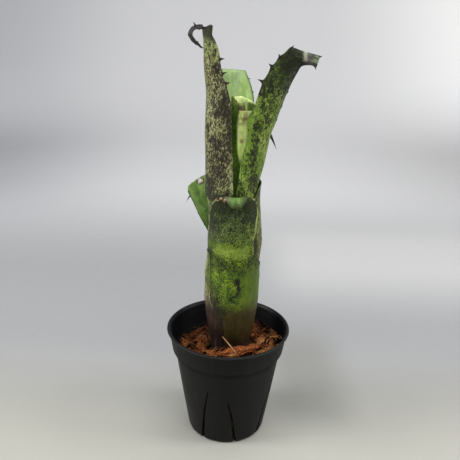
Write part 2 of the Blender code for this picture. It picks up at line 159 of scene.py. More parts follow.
def cross_sections(base, level, free=()):
    """A leaf's cross-sections from its foot upwards.

    The base is wrapped into the trunk: (inset from the trunk's radius, azimuth, left and right sweep,
    shift in x and y). Level rings follow: (height, centre x, y, radius, azimuth, left and right sweep),
    where a row of four values keeps the last three of the row before. Then comes the free blade:
    (left margin, right margin, half its arc's angle, azimuth and elevation that it faces).
    """
    inset, *lie = base[:4]
    across, back = base[4:] or (0, 0)
    wrapped = [line for line in TRUNK if line[0] < level[0][0]]
    rows = [ring(height, x + across, back, radius - inset, *lie) for height, x, radius in wrapped]
    for line in level:
        lie = line[4:] or lie
        rows.append(ring(*line[:4], *lie))
    return rows + [blade(*line) for line in free]


BASAL_SHEATH = cross_sections(
    (0, -72, 52, 52, 0, -1),
    (
        (133, 2.3, -1, 24.8, -76, 48, 48), (146, 2.2, -1, 26, -87, 37, 37),
        (160, 2.5, -1, 25.9, -89, 34, 34), (174, 3, -1, 26.6, -89, 32, 32),
        (187, 4, -1.3, 27.1, -90, 28, 28), (193, 4, -1.4, 27.3, -84, 22, 22),
        (199, 4, -1.7, 27.4, -72, 7, 7),
    ),
)
FRONT_STUB = cross_sections(
    (0.85, -5, 105, 105, 0.85, -0.6),
    (
        (174, 3.35, -0.8, 25.15, -5, 105, 100), (187, 4.05, -1.2, 25.15, -5, 106, 75),
        (195, 4.1, -1.5, 25.3, -5, 98, 56), (203, 4.2, -1.8, 25.5, -5, 86, 47),
        (213, 3.9, -1.8, 25.5, -5, 73, 49), (228, 3.2, -1.8, 25.7, -5, 61, 57),
        (241, 2.4, -1.8, 26, -5, 52, 61), (249, 2, -1.9, 26.2, -5, 38, 55),
        (254.5, 1.8, -2, 26.6, -5, 30, 45),
    ),
)
RIGHT_STUB = cross_sections(
    (2.9, 125, 85, 88, 0.6, 0),
    (
        (174, 3.1, 0, 23.1, 120, 88, 90), (187, 4.4, 0, 23.6, 120, 90, 88), (195, 4.8, 0, 24, 120, 91, 86),
        (203, 4.8, 0, 24.7, 120, 92, 84), (213, 4.2, 0.1, 24.6, 120, 90, 84),
        (228, 3.3, 0.3, 24.2, 120, 86, 82), (241, 2.4, 0.4, 24, 120, 80, 80),
        (252, 2.1, 0.3, 24, 120, 65, 70), (261, 2.6, 0.3, 24.4, 120, 45, 58),
    ),
)
LEFT_STUB = cross_sections(
    (4.9, -125, 65, 62),
    (
        (174, 2.7, 0, 21, -124, 62, 58), (187, 3.3, 0, 20.9, -122, 50, 45),
        (195, 3.9, 0.3, 21.4, -120, 34, 33), (201, 4.1, 0.5, 22.4, -119, 29, 27),
        (209, 4.4, 0.1, 24.8, -119, 27, 27),
    ),
    (
        ((-11.5, 24.5, 228), (-29.8, 3, 227), 30, -126, -30),
        ((-16.8, 29.5, 242), (-36, 4.2, 240.5), 31, -128, -32),
        ((-21.5, 32, 253), (-41.9, 5.8, 251.5), 29, -128, -33),
    ),
)
LEFT_LEAF = cross_sections(
    (6.6, -78, 84, 82),
    (
        (174, 2.7, 0, 19.3), (187, 3.3, 0, 18.8), (200, 3.8, 0, 19), (213, 3, 0, 19.8), (228, 1.2, 0, 21),
        (241, -0.6, 0, 21.9), (252, -1.8, -0.2, 22.3, -78, 84, 86), (264, -3, -1, 20.9, -78, 75, 89),
        (276, -5, -2, 19.2, -78, 70, 95), (290, -6.8, -3.2, 17.8, -78, 70, 99),
        (304, -8.3, -4.1, 16.7, -78, 70, 104), (318, -9.2, -4.7, 15.6, -78, 70, 107),
        (332, -9.8, -5, 14.8, -78, 70, 111), (345, -11.6, -5.4, 13, -78, 72, 111),
        (357, -14.8, -5.8, 10.8, -78, 76, 111), (369, -17.6, -6, 8.9, -78, 80, 111),
        (380, -19.3, -6, 7.5, -78, 84, 110), (389, -21.9, -6, 5.6, -80, 84, 105),
        (395, -24.6, -6, 3.9, -84, 70, 92),
    ),
)
RIGHT_LEAF = cross_sections(
    (6.6, 90, 80, 82),
    (
        (174, 2.7, 0, 19.3), (187, 3.3, 0, 18.8), (200, 3.8, 0, 19), (213, 3.6, 0, 19.4, 90, 82, 82),
        (228, 2.8, 0, 20.6, 89, 84, 82), (241, 2.2, 0, 21.7, 88, 83, 80), (252, 2, -0.1, 21.8, 87, 82, 78),
        (264, 4, -0.4, 21.1, 82, 79, 74), (276, 8.2, -0.8, 19.6, 72, 77, 72),
        (290, 12.8, -1, 17.4, 60, 75, 71), (304, 17.6, -1, 15, 50, 70, 70),
    ),
    (
        ((14.4, -15, 319), (36, 3, 314), 61, 42, -4), ((17.8, -14.5, 334), (40.6, 0, 328), 51, 34, -8),
        ((22.5, -13.5, 350), (45, -2, 341), 43, 28, -8), ((29, -12.5, 363), (49.3, -4, 353), 37, 22, -8),
        ((37, -11.5, 373.5), (52.8, -5.5, 360.5), 33, 18, -5),
        ((47.5, -10.5, 381), (56.5, -7.5, 366.5), 28, 14, 4),
        ((54.8, -9, 379.2), (60, -9.5, 367.5), 24, 10, 18),
        ((60, -7.5, 378), (63.5, -11.5, 367.8), 20, 6, 34),
        ((66, -5.5, 376.2), (66, -13, 367.2), 16, 5, 48),
        ((71.5, -4.5, 374.6), (67.8, -13.2, 366.6), 12, 5, 52),
    ),
)
BACK_LEAF = cross_sections(
    (8.3, 185, 54, 54),
    (
        (174, 2.8, 0, 17.7), (187, 3.5, 0, 17.1, 185, 52, 52), (200, 4, 0, 17.2, 184, 52, 52),
        (213, 3.4, 0, 17.6, 182, 50, 50), (228, 2, 0, 19, 180, 46, 46), (241, 1, 0, 20, 180, 42, 42),
        (252, 0.7, 0.2, 20.1, 180, 38, 38), (262, 0.6, 0.6, 20.2, 180, 32, 32),
        (275, 0.5, 1.5, 20, 180, 34, 34),
    ),
    (
        ((13.5, 17.4, 290), (-12.6, 17.4, 290), 36, 180, -3),
        ((15.6, 17, 304), (-14.8, 17, 304), 37, 180, -3), ((17.3, 17, 319), (-17.2, 17, 319), 34, 180, -3),
        ((17.6, 17.5, 333), (-18.8, 17.5, 333), 30, 180, -3),
        ((14.4, 18.5, 346), (-17.4, 18.5, 346), 27, 180, -3),
        ((9.3, 19, 357.5), (-13.6, 19, 358.8), 23, 180, -3),
    ),
)
INNER_LEAF = cross_sections(
    (8.3, 62, 54, 54),
    (
        (174, 2.8, 0, 17.7), (187, 3.5, 0, 17.1, 62, 54, 52), (200, 4, 0, 17.2, 62, 50, 50),
        (213, 4, 0, 17.4, 62, 46, 46), (228, 3.6, 0, 17.8, 62, 42, 42), (241, 3.6, 0, 18, 62, 38, 38),
        (252, 3.8, 0, 18), (264, 5.2, 0.2, 16.6, 58, 43, 42), (276, 7, 0.4, 14.9, 50, 48, 50),
        (290, 8.2, 0.7, 13.6, 40, 60, 58), (304, 8.4, 0.9, 12.8, 38, 64, 60),
        (318, 8.5, 1, 12.5, 38, 66, 60), (328, 8.5, 1, 12.5, 36, 56, 40),
    ),
)
ROLLED_LEAF = cross_sections(
    (10, -140, 160, 160),
    (
        (174, 2.8, 0, 16), (187, 3.5, 0, 15.4), (200, 4, 0, 15.2), (213, 4, 0, 15), (228, 3.6, 0, 15),
        (241, 3.2, 0, 15.2), (252, 3.2, 0.2, 15), (264, 4, 0.4, 14.2), (276, 5, 0.6, 13),
        (290, 6.2, 1, 11.5), (304, 6.9, 1.2, 10.8), (318, 7.4, 1.4, 10.4),
        (333, 7.6, 1.6, 10.4, -140, 150, 150),
    ),
)

# Dried tip of the left leaf: (x, z, width, elevation of its outer face)
LEFT_TIP = (
    (-29.2, 395.4, 5.4, -58), (-33, 395.6, 4.6, -92), (-36.2, 393.9, 5, -128), (-37.9, 389.6, 5.6, -180),
    (-35, 385.4, 4.8, -232), (-31, 382, 3.2, -240), (-27.2, 379, 1, -240),
)
LEFT_TIP_LIE = math.radians(48)
LEFT_TIP_Y = -6.0
LEFT_TIP_HALF_ANGLE = 25


def left_tip_sections():
    """The tip curls over to the left, its width turned a little towards the back."""
    for x, z, width, elevation in LEFT_TIP:
        centre = np.array([x, LEFT_TIP_Y, z])
        back = np.array([0, math.cos(LEFT_TIP_LIE), 0]) - direction(-90, elevation) * math.sin(LEFT_TIP_LIE)
        half = back * width / 2
        yield blade(centre + half, centre - half, LEFT_TIP_HALF_ANGLE, -90, elevation)


# ---------------------------------------------------------------- fine leaf surfaces


def spline(knots, at, wanted):
    """Smooth curve through knots (k, n, 3) placed at distances at, read at the wanted distances (m, n)."""
    slope = np.gradient(knots, at, axis=0)
    k = np.clip(np.searchsorted(at, wanted, side="right") - 1, 0, len(at) - 2)
    column = np.broadcast_to(np.arange(knots.shape[1]), wanted.shape)
    span = (at[k + 1] - at[k])[..., None]
    t = (wanted - at[k])[..., None] / span
    p0, p1 = knots[k, column], knots[k + 1, column]
    m0, m1 = slope[k, column] * span, slope[k + 1, column] * span
    inside = np.clip(t, 0, 1)
    t2, t3 = inside**2, inside**3
    curve = (2 * t3 - 3 * t2 + 1) * p0 + (t3 - 2 * t2 + inside) * m0 + (3 * t2 - 2 * t3) * p1 + (t3 - t2) * m1
    return curve + np.where(t > 1, (t - 1) * m1, 0)


class Leaf:
    """A leaf's outer face as a grid of points, rows from the base and columns from left to right."""

    def __init__(self, rows, columns, step, hidden_below=0, top=np.zeros_like, top_from=12):
        """Rows lie step mm apart and are coarse below the height where the trunk hides them.

        top(shares) is how much further each column reaches than the last row, spread over top_from mm.
        """
        self.share = np.linspace(0, 1, columns + 1)
        knots = np.array([row(self.share) for row in rows])
        middle = knots.mean(axis=1)
        at = np.concatenate([[0], np.cumsum(np.linalg.norm(np.diff(middle, axis=0), axis=1))])
        self.length = at[-1]
        trunk = slice(len(TRUNK) + 1)
        shown = np.interp(hidden_below, middle[trunk, 2], at[trunk])
        shown += max(0, hidden_below - middle[trunk, 2][-1])
        coarse = np.linspace(0, shown, max(0, int(shown / (4 * step)) - 1), endpoint=False)
        fine = np.linspace(shown, self.length, int((self.length - shown) / step) + 1)
        along = np.concatenate([coarse, fine])[:, None]
        self.along = along + smooth(along, self.length - top_from, self.length) * top(self.share)
        self.point = spline(knots, at, self.along)

    def axes(self):
        """Sideways, lengthwise and outward unit vectors at every point."""
        sideways = unit(np.gradient(self.point, axis=1))
        lengthwise = unit(np.gradient(self.point, axis=0))
        return sideways, lengthwise, unit(np.cross(sideways, lengthwise))

    def width(self):
        """Length of every row from margin to margin."""
        return np.linalg.norm(np.diff(self.point, axis=1), axis=2).sum(axis=1)[:, None]

    def near_end(self, start, full):
        """A soft step along the leaf between two distances from its end."""
        return smooth(self.length - self.along, start, full)

    def push(self, distance):
        """Moves the face outwards by a distance for every point."""
        self.point = self.point + self.axes()[2] * distance[..., None]

    def spread(self, left, right, reach=0.2):
        """Moves the margins outwards, sideways, by distances for every row, fading inwards."""
        from_left = np.clip(1 - self.share / reach, 0, 1) ** 2
        from_right = np.clip(1 - (1 - self.share) / reach, 0, 1) ** 2
        move = np.atleast_1d(right)[:, None] * from_right - np.atleast_1d(left)[:, None] * from_left
        self.point = self.point + self.axes()[0] * move[..., None]

    def curl(self, start, radius, most):
        """Rolls what lies beyond the start distance outwards, up to most degrees and then straight on."""
        _, lengthwise, outward = self.axes()
        beyond = np.maximum(self.along - start, 0)
        turn = np.minimum(beyond / radius, math.radians(most))
        rest = beyond - turn * radius
        up = radius * np.sin(turn) + rest * np.cos(turn) - beyond
        out = radius * (1 - np.cos(turn)) + rest * np.sin(turn)
        self.point = self.point + lengthwise * up[..., None] + outward * out[..., None]

    def margin(self, side, height):
        """The margin point nearest a height, with its outward, lengthwise and face directions."""
        column, sign = (0, -1) if side == "left" else (-1, 1)
        row = int(np.argmin(np.abs(self.point[:, column, 2] - height)))
        sideways, lengthwise, outward = (axis[row, column] for axis in self.axes())
        return self.point[row, column], sideways * sign, lengthwise, outward


def quads(rows, columns):
    """Faces between neighbouring closed rings of points, numbered ring by ring: (rows - 1, columns, 4)."""
    number = np.arange(rows * columns).reshape(rows, columns)
    after = np.roll(number, -1, axis=1)
    return np.stack([number[:-1], after[:-1], after[1:], number[1:]], axis=-1)


def capped(rows, columns):
    """The faces of a solid made of rings of points, with a cap on its first and last ring."""
    first = list(range(columns))
    last = [(rows - 1) * columns + i for i in first]
    return [*quads(rows, columns).reshape(-1, 4).tolist(), first[::-1], last]


def join(groups):
    """One set of vertices, faces and values from groups of (points, faces, *values)."""
    faces, total = [], 0
    for points, own, *_ in groups:
        faces += [[i + total for i in face] for face in own]
        total += len(points)
    points, _, *values = zip(*groups)
    return np.concatenate(points), faces, *map(np.concatenate, values)


def closed_sheet(leaf, thickness, edge_thickness):
    """Vertices and faces of a closed leaf: outer grid, inner grid, and the rim that joins them."""
    rows, columns = leaf.along.shape
    edge = np.minimum(leaf.share, 1 - leaf.share) * leaf.width()
    end = leaf.along[-1] - leaf.along
    taper = smooth(np.minimum(edge, end + 0.3), 0, 2.5)
    depth = edge_thickness + (thickness - edge_thickness) * taper
    inner = leaf.point - leaf.axes()[2] * depth[..., None]
    outer_faces = quads(rows, columns)[:, :-1].reshape(-1, 4)
    number = np.arange(rows * columns).reshape(rows, columns)
    rim = np.concatenate([number[0], number[1:, -1], number[-1, -2::-1], number[-2:0:-1, 0]])
    after, below = np.roll(rim, -1), rows * columns
    walls = np.stack([rim, rim + below, after + below, after], axis=-1)
    vertices = np.concatenate([leaf.point.reshape(-1, 3), inner.reshape(-1, 3)])
    return vertices, np.concatenate([outer_faces, outer_faces[:, ::-1] + below, walls]).tolist()


def thorn(base, tip, face, width, thick, bow, rings=7, sides=8):
    """A flattened, curved spine from a broad foot to a sharp tip: vertices and quads, closed."""
    axis = unit(tip - base)
    face = unit(face - axis * (face @ axis))
    broad = np.cross(face, axis)
    points = []
    for t in np.linspace(0, 1, rings):
        slim = (1 - t) ** 1.25 * 0.97 + 0.03
        centre = base + (tip - base) * t + broad * bow * 4 * t * (1 - t)
        for turn in np.arange(sides) * math.tau / sides:
            spoke = broad * math.cos(turn) * width + face * math.sin(turn) * thick
            points.append(centre + spoke / 2 * slim)
    faces = quads(rings, sides).reshape(-1, 4).tolist()
    last = (rings - 1) * sides
    for i in range(1, sides - 1, 2):
        faces += [(0, i + 2, i + 1, i), (last, last + i, last + i + 1, last + i + 2)]
    return np.array(points), faces


def add_object(name, data):
    made = bpy.data.objects.new(name, data)
    bpy.context.scene.collection.objects.link(made)
    return made


def new_mesh(name, vertices, faces):
    """A mesh object from vertices in millimetres."""
    mesh = bpy.data.meshes.new(name)
    mesh.from_pydata((vertices * MM).tolist(), [], faces)
    mesh.validate()
    mesh.shade_smooth()
    return add_object(name, mesh)


FIELDS = {"FLOAT": "value", "FLOAT_VECTOR": "vector", "FLOAT_COLOR": "color"}


def set_attribute(piece, name, kind, values):
    values = np.asarray(values, np.float32)
    if kind == "FLOAT_COLOR":
        values = np.pad(values, ((0, 0), (0, 1)), constant_values=1)
    piece.data.attributes.new(name, kind, "POINT").data.foreach_set(FIELDS[kind], values.ravel())


def fix_in_place(piece, slot, finish, *nodes):
    """The piece gets its material, rides on the frame and stands for its CAD nodes."""
    piece.data.materials.append(finish)
    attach(piece, "root")
    if nodes:
        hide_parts(*nodes)


SPINE_FOOT = srgb(62, 50, 38)
SPINE_TIP = srgb(22, 18, 17)
SPINE_MARKS = (0, 0, 0.15)
SPINE_ROOT_DEPTH = 1.2


def add_leaf(name, node, slot, finish, leaf, paint, thickness=1, edge=0.5, thorns=()):
    """Builds the closed leaf with its spines in one mesh and paints both faces."""
    vertices, faces = closed_sheet(leaf, thickness, edge)
    across = ((leaf.share - 0.5) * leaf.width()).ravel()
    along = leaf.along.ravel()
    share = np.broadcast_to(leaf.share, leaf.along.shape).ravel()
    sides = []
    for inner, points in enumerate(np.split(vertices, 2)):
        skin = paint(leaf, points, share, leaf.length - along, inner)
        grain = np.stack([across, along, np.full(len(along), inner * 40)], axis=1)
        sides.append((skin.colour, skin.marks(), grain))
    groups = [(vertices, faces, *map(np.concatenate, zip(*sides)))]
    for number, (base, tip, *shape) in enumerate(thorns):
        points, faces = thorn(base, tip, *shape)
        toward = np.linalg.norm(points - base, axis=1) / np.linalg.norm(tip - base)
        colour = mix(SPINE_FOOT, SPINE_TIP, smooth(toward, 0.05, 0.55))
        marks = np.tile(SPINE_MARKS, (len(points), 1))
        groups.append((points, faces, colour, marks, points * 0.5 + number * 9))
    vertices, faces, colour, marks, grain = join(groups)
    piece = new_mesh(name, vertices, faces)
    set_attribute(piece, "leaf_colour", "FLOAT_COLOR", colour)
    set_attribute(piece, "leaf_marks", "FLOAT_COLOR", marks)
    set_attribute(piece, "leaf_grain", "FLOAT_VECTOR", grain)
    fix_in_place(piece, slot, finish, node)


def spine(leaf, side, height, tip, width=3.4, thick=1.1, bow=0):
    """A spine rooted in the margin at a height; its tip is a place, or a reach out from and up the margin."""
    root, away, up, face = leaf.margin(side, height)
    if len(tip) == 2:
        tip = root + away * tip[0] + up * tip[1]
    return root - away * SPINE_ROOT_DEPTH, np.array(tip), face, width, thick, bow


# ---------------------------------------------------------------- shader graphs


class Value:
    """A shader node's output that can be added, subtracted and multiplied."""

    def __init__(self, graph, socket):
        self.graph = graph
        self.socket = socket

    def __add__(self, other):
        return self.graph.math("ADD", self, other)

    def __sub__(self, other):
        return self.graph.math("SUBTRACT", self, other)

    def __mul__(self, other):
        return self.graph.math("MULTIPLY", self, other)


class Graph:
    """A material's node tree with short calls to add and link nodes."""

    def __init__(self, name):
        self.material = bpy.data.materials.new(name)
        self.material.use_nodes = True
        self.tree = self.material.node_tree

    def put(self, socket, value):
        if isinstance(value, Value):
            self.tree.links.new(value.socket, socket)
        elif value is not None:
            socket.default_value = value

    def node(self, kind, inputs, output=0, **settings):
        """Adds a node with inputs given by name or number, and returns one output."""
        made = self.tree.nodes.new("ShaderNode" + kind)
        for key, value in settings.items():
            setattr(made, key, value)
        for key, value in inputs.items():
            self.put(made.inputs[key], value)
        return Value(self, made.outputs[output])

    def math(self, operation, a, b, clamp=False):
        return self.node("Math", {0: a, 1: b}, operation=operation, use_clamp=clamp)

    def attribute(self, name, output="Color"):
        return self.node("Attribute", {}, output, attribute_name=name)

    def object_place(self):
        return self.node("TexCoord", {}, "Object")

    def parts(self, kind, entry, vector):
        """The three outputs of a node that takes a vector or a colour apart."""
        first = self.node(kind, {entry: vector})
        return [Value(self, socket) for socket in first.socket.node.outputs]

    def stretched(self, vector, scale, offset=(0, 0, 0)):
        return self.node("Mapping", {"Vector": vector, "Scale": scale, "Location": offset})

    def noise(self, vector, scale, detail=3, roughness=0.55, distortion=0):
        inputs = {"Vector": vector, "Scale": scale, "Detail": detail, "Roughness": roughness}
        return self.node("TexNoise", {**inputs, "Distortion": distortion}, "Fac")

    def ramp(self, value, low, high, out_low=0, out_high=1, soft=True):
        inputs = {"Value": value, "From Min": low, "From Max": high, "To Min": out_low, "To Max": out_high}
        return self.node("MapRange", inputs, interpolation_type="SMOOTHSTEP" if soft else "LINEAR")

    def blend(self, share, a, b, kind="MIX"):
        a, b = (end if isinstance(end, Value) else (*map(float, end), 1) for end in (a, b))
        return self.node("Mix", {0: share, 6: a, 7: b}, 2, data_type="RGBA", blend_type=kind)

    def tint(self, share, colour, red, green, blue):
        """Lays a display colour over a colour by a share."""
        return self.blend(share, colour, srgb(red, green, blue))

    def shaded(self, colour, tone):
        """A colour multiplied by a number."""
        grey = self.node("CombineColor", {"Red": tone, "Green": tone, "Blue": tone})
        return self.blend(1, colour, grey, "MULTIPLY")

    def bump(self, height, distance, strength):
        return self.node("Bump", {"Height": height, "Distance": distance, "Strength": strength})

    def finish(self, colour, roughness, normal, specular):
        shader = self.tree.nodes["Principled BSDF"].inputs
        self.put(shader["Base Color"], colour)
        self.put(shader["Roughness"], roughness)
        self.put(shader["Normal"], normal)
        shader["Specular IOR Level"].default_value = specular
        return self.material


def marks_threshold(graph, share):
    """The noise level above which about that share of a surface lies."""
    return graph.ramp(share, 0, 1, 0.64, 0.34, soft=False) + graph.ramp(share, 0, 0.14, 0.16, 0, soft=False)


def leaf_skin(name, fleck_colour, wash_colour, sizes=(1.1, 4.5), stretch=1.9, roughness=0.46, veined=1):
    """Living leaf: painted ground colour, flecks and washes drawn out along the leaf, veins and scales."""
    g = Graph(name)
    fleck_colour, wash_colour = srgb(*fleck_colour), srgb(*wash_colour)
    fleck_size, wash_size = sizes
    ground = g.attribute("leaf_colour")
    flecked, blotched, dry = g.parts("SeparateColor", "Color", g.attribute("leaf_marks"))
    grain = g.attribute("leaf_grain", "Vector")

    veins = g.noise(g.stretched(grain, (1, 0.03, 1)), 0.9, 3, 0.6)
    patches = g.noise(g.stretched(grain, (1, 0.45, 1)), 0.16, 3, 0.55, 0.4)
    fibres = g.noise(g.stretched(grain, (1, 0.12, 1)), 2.6, 2, 0.6)
    lines = g.ramp(veins, 0.3, 0.7, -0.10, 0.10) + g.ramp(fibres, 0.3, 0.7, -0.08, 0.08)
    tone = g.ramp(patches, 0.3, 0.7, 0.80, 1.16) + lines * veined
    long_grain = g.stretched(grain, (1, 1 / stretch, 1))
    mottle = g.noise(g.stretched(long_grain, (1, 1, 1), (5, 19, 8)), 0.55, 3, 0.7)
    busy = g.ramp(flecked, 0.1, 0.35, 1, 1.9)
    tone = tone * (g.ramp(mottle, 0.35, 0.65, -0.16, 0.15) * (busy * veined) + 1)
    ground = g.shaded(ground, tone)

    washes = g.noise(long_grain, 1 / wash_size, 4, 0.68, 0.8)
    level = marks_threshold(g, blotched)
    wash = g.ramp(washes, level - 0.06, level + 0.06)
    level = marks_threshold(g, flecked + wash * 0.30)
    flecks = g.noise(g.stretched(long_grain, (1, 1, 1), (31, 7, 3)), 1 / fleck_size, 2.5, 0.62, 0.6)
    fleck = g.ramp(flecks, level - 0.025, level + 0.035)
    halo = g.ramp(flecks, level - 0.12, level + 0.04, 0, 0.4)
    ground = g.blend(wash * 0.55, ground, wash_colour)
    ground = g.blend(halo, ground, g.blend(0.6, ground, fleck_colour))
    ground = g.blend(fleck * g.ramp(mottle, 0.36, 0.6, 0.99, 0.80), ground, fleck_colour)

    scales = g.noise(g.stretched(grain, (1, 0.5, 1)), 3.4, 2, 0.7)
    ground = g.tint(g.ramp(scales, 0.56, 0.72, 0, 0.05), ground, 196, 200, 186)
    rough = g.ramp(patches, 0.3, 0.7, roughness - 0.05, roughness + 0.07) + fleck * 0.07
    rough = g.math("ADD", rough, dry * 0.35, clamp=True)
    relief = veins * 0.9 + fibres * 0.35 + scales * 0.2 - fleck * 0.12
    return g.finish(ground, rough, g.bump(relief, 0.0004, 0.75), 0.22)


def black_plastic():
    """Matt moulded polypropylene with a faint orange-peel and dusty streaks, lighter along the lip's outer
    edge, with painted shade under the shoulder step and low on the inner wall.
    """
    g = Graph("pot_black_plastic")
    place = g.object_place()
    dust = g.noise(g.stretched(place, (1, 1, 0.35)), 38, 4, 0.62, 0.3)
    streak = g.noise(g.stretched(place, (1, 1, 0.08)), 190, 3, 0.6)
    peel = g.noise(place, 900, 2, 0.5)
    under = g.attribute("pot_painted_shade", "Fac")
    colour = g.tint(g.ramp(dust, 0.42, 0.75, 0, 0.55), srgb(13, 13, 13), 22, 23, 22)
    colour = g.tint(g.ramp(streak, 0.52, 0.8, 0, 0.4), colour, 36, 37, 36)
    colour = g.tint(g.ramp(g.attribute("rim", "Fac"), 0, 1) * 0.5, colour, 40, 41, 42)
    # Painted shade under the shoulder step and low on the inner wall
    colour = g.tint(under * 0.45, colour, 3, 3, 3)
    rough = g.ramp(dust, 0.3, 0.75, 0.44, 0.58) + peel * 0.06
    rough = g.math("ADD", rough, under * 0.25, clamp=True)
    return g.finish(colour, rough, g.bump(peel * 0.5 + streak * 0.5, 0.00012, 0.5), 0.17)


def husk(name, dark, middle, light):
    """Coconut husk: corky ground with fibres along each shard and pale dusty ends."""
    g = Graph(name)
    dark, middle, light = srgb(*dark), srgb(*middle), srgb(*light)
    grain = g.attribute("husk_grain", "Vector")
    fibres = g.noise(g.stretched(grain, (0.22, 1.6, 1.6)), 1.5, 4, 0.7, 0.3)
    pith = g.noise(grain, 0.55, 4, 0.65)
    bleached = g.noise(g.stretched(grain, (0.25, 1, 1), (17, 3, 9)), 0.11, 2, 0.5)
    colour = g.blend(g.ramp(fibres, 0.34, 0.64), dark, middle)
    colour = g.blend(g.ramp(fibres, 0.55, 0.78) * 0.75, colour, light)
    colour = g.blend(g.ramp(bleached, 0.5, 0.66) * 0.45, colour, light)
    colour = g.blend(g.ramp(pith, 0.35, 0.6, 0.8, 0), colour, dark)
    colour = g.shaded(colour, g.attribute("husk_shade", "Fac"))
    normal = g.bump(fibres + pith * 0.3, 0.0007, 0.9)
    return g.finish(colour, g.ramp(pith, 0.3, 0.7, 0.78, 0.95), normal, 0.12)


# ---------------------------------------------------------------- leaf paint


def ellipse(points, x, z, wide, tall, soft=0.5, seed=5):
    """1 inside an upright ellipse seen from the front, with a wandering edge, fading to 0 outside."""
    wander = (fractal(points, 7, seed) - 0.5) * 0.9
    distance = np.hypot((points[:, 0] - x) / wide, (points[:, 2] - z) / tall) + wander
    return smooth(distance, 1 + soft, 1 - soft)


def spots(points, table, soft=0.5):
    """Sum of ellipses (x, z, half width, half height, strength)."""
    return sum(much * ellipse(points, x, z, wide, tall, soft) for x, z, wide, tall, much in table)


def in_front(points, y):
    return smooth(points[:, 1], y + 3, y - 3)


class Skin:
    """What the leaf shader reads on one face: a colour, and the shares of flecks, blotches and dryness."""

    def __init__(self, dark, pale, cloud, fleck=0, blotch=0, dry=0):
        self.colour = mix(srgb(*dark), srgb(*pale), cloud)
        self.fleck, self.blotch, self.dry = fleck, blotch, dry

    def tint(self, red, green, blue, share):
        """Lays a display colour over the face by an array of shares."""
        self.colour = mix(self.colour, srgb(red, green, blue), share)

    def clear(self, share):
        """Takes flecks and blotches away by an array of shares."""
        self.fleck, self.blotch = self.fleck * (1 - share), self.blotch * (1 - share)

    def limit(self, fleck, blotch):
        self.fleck, self.blotch = np.clip(self.fleck, 0, fleck), np.clip(self.blotch, 0, blotch)

    def marks(self):
        shares = (self.fleck, self.blotch, self.dry)
        return np.stack([np.broadcast_to(one, len(self.colour)) for one in shares], axis=1)


def paint_left_leaf(leaf, p, share, to_end, inner):
    x, z = p[:, 0], p[:, 2]
    if inner:
        skin = Skin((112, 138, 74), (134, 160, 92), fractal(p, (8, 8, 30), 3), 0.12, 0.05)
        skin.tint(52, 47, 47, smooth(to_end, 50, 34))
        return skin
    skin = Skin((138, 138, 90), (170, 172, 124), clouds(p, (6, 6, 22), 2, 0.35))
    skin.tint(132, 152, 78, smooth(z, 272, 248) * 0.6)
    skin.tint(140, 154, 94, smooth(z, 366, 380) * 0.7)
    # Painted shade: browner and darker towards the left, where the face turns away from the light
    skin.tint(104, 88, 78, smooth(share, 0.42, 0.30) * smooth(z, 258, 285) * 0.62)
    dark = in_front(p, -2) * spots(
        p,
        (
            (-12.5, 360, 5, 9, 0.30), (-10.8, 333, 6, 8, 0.30), (-4, 329, 4.5, 17, 0.42),
            (-13.8, 303, 6, 7, 0.32), (-10.5, 288, 8, 10, 0.26), (-9, 341, 4, 8, 0.26),
            (-21, 258, 5, 12, 0.8), (-9, 270, 6, 8, 0.35), (-13, 252, 6, 6, 0.3), (-2.5, 305, 3, 12, 0.35),
        ),
    )
    skin.fleck = 0.45 + 0.45 * (fractal(p, (8, 8, 17), 11) - 0.5) + 0.5 * dark - 0.12 * smooth(z, 366, 378)
    skin.blotch = 0.20 + 0.8 * (fractal(p, (6, 6, 9), 21) - 0.5) + 0.9 * dark
    tip = smooth(z + 0.35 * (x + 22), 383, 389) * smooth(to_end, 60, 44)
    tip = np.maximum(tip, smooth(to_end, 38, 32))
    skin.tint(50, 48, 38, tip * 0.95)
    strip = smooth(to_end, 31, 27)
    skin.tint(20, 17, 18, strip * 0.9)
    # Painted sheen: silvery grey streaks along the dried strip at the tip
    lengthwise = np.stack([share * 9, (leaf.length - to_end) * 0.35, np.zeros_like(share)], axis=1)
    skin.tint(132, 128, 130, smooth(value_noise(lengthwise, 1.5, 24), 0.4, 0.7) * strip * 0.8)
    skin.fleck = skin.fleck * (1 - 0.6 * tip)
    skin.limit(0.62, 0.75)
    skin.blotch = skin.blotch * (1 - 0.7 * tip)
    skin.dry = tip * 0.6
    return skin


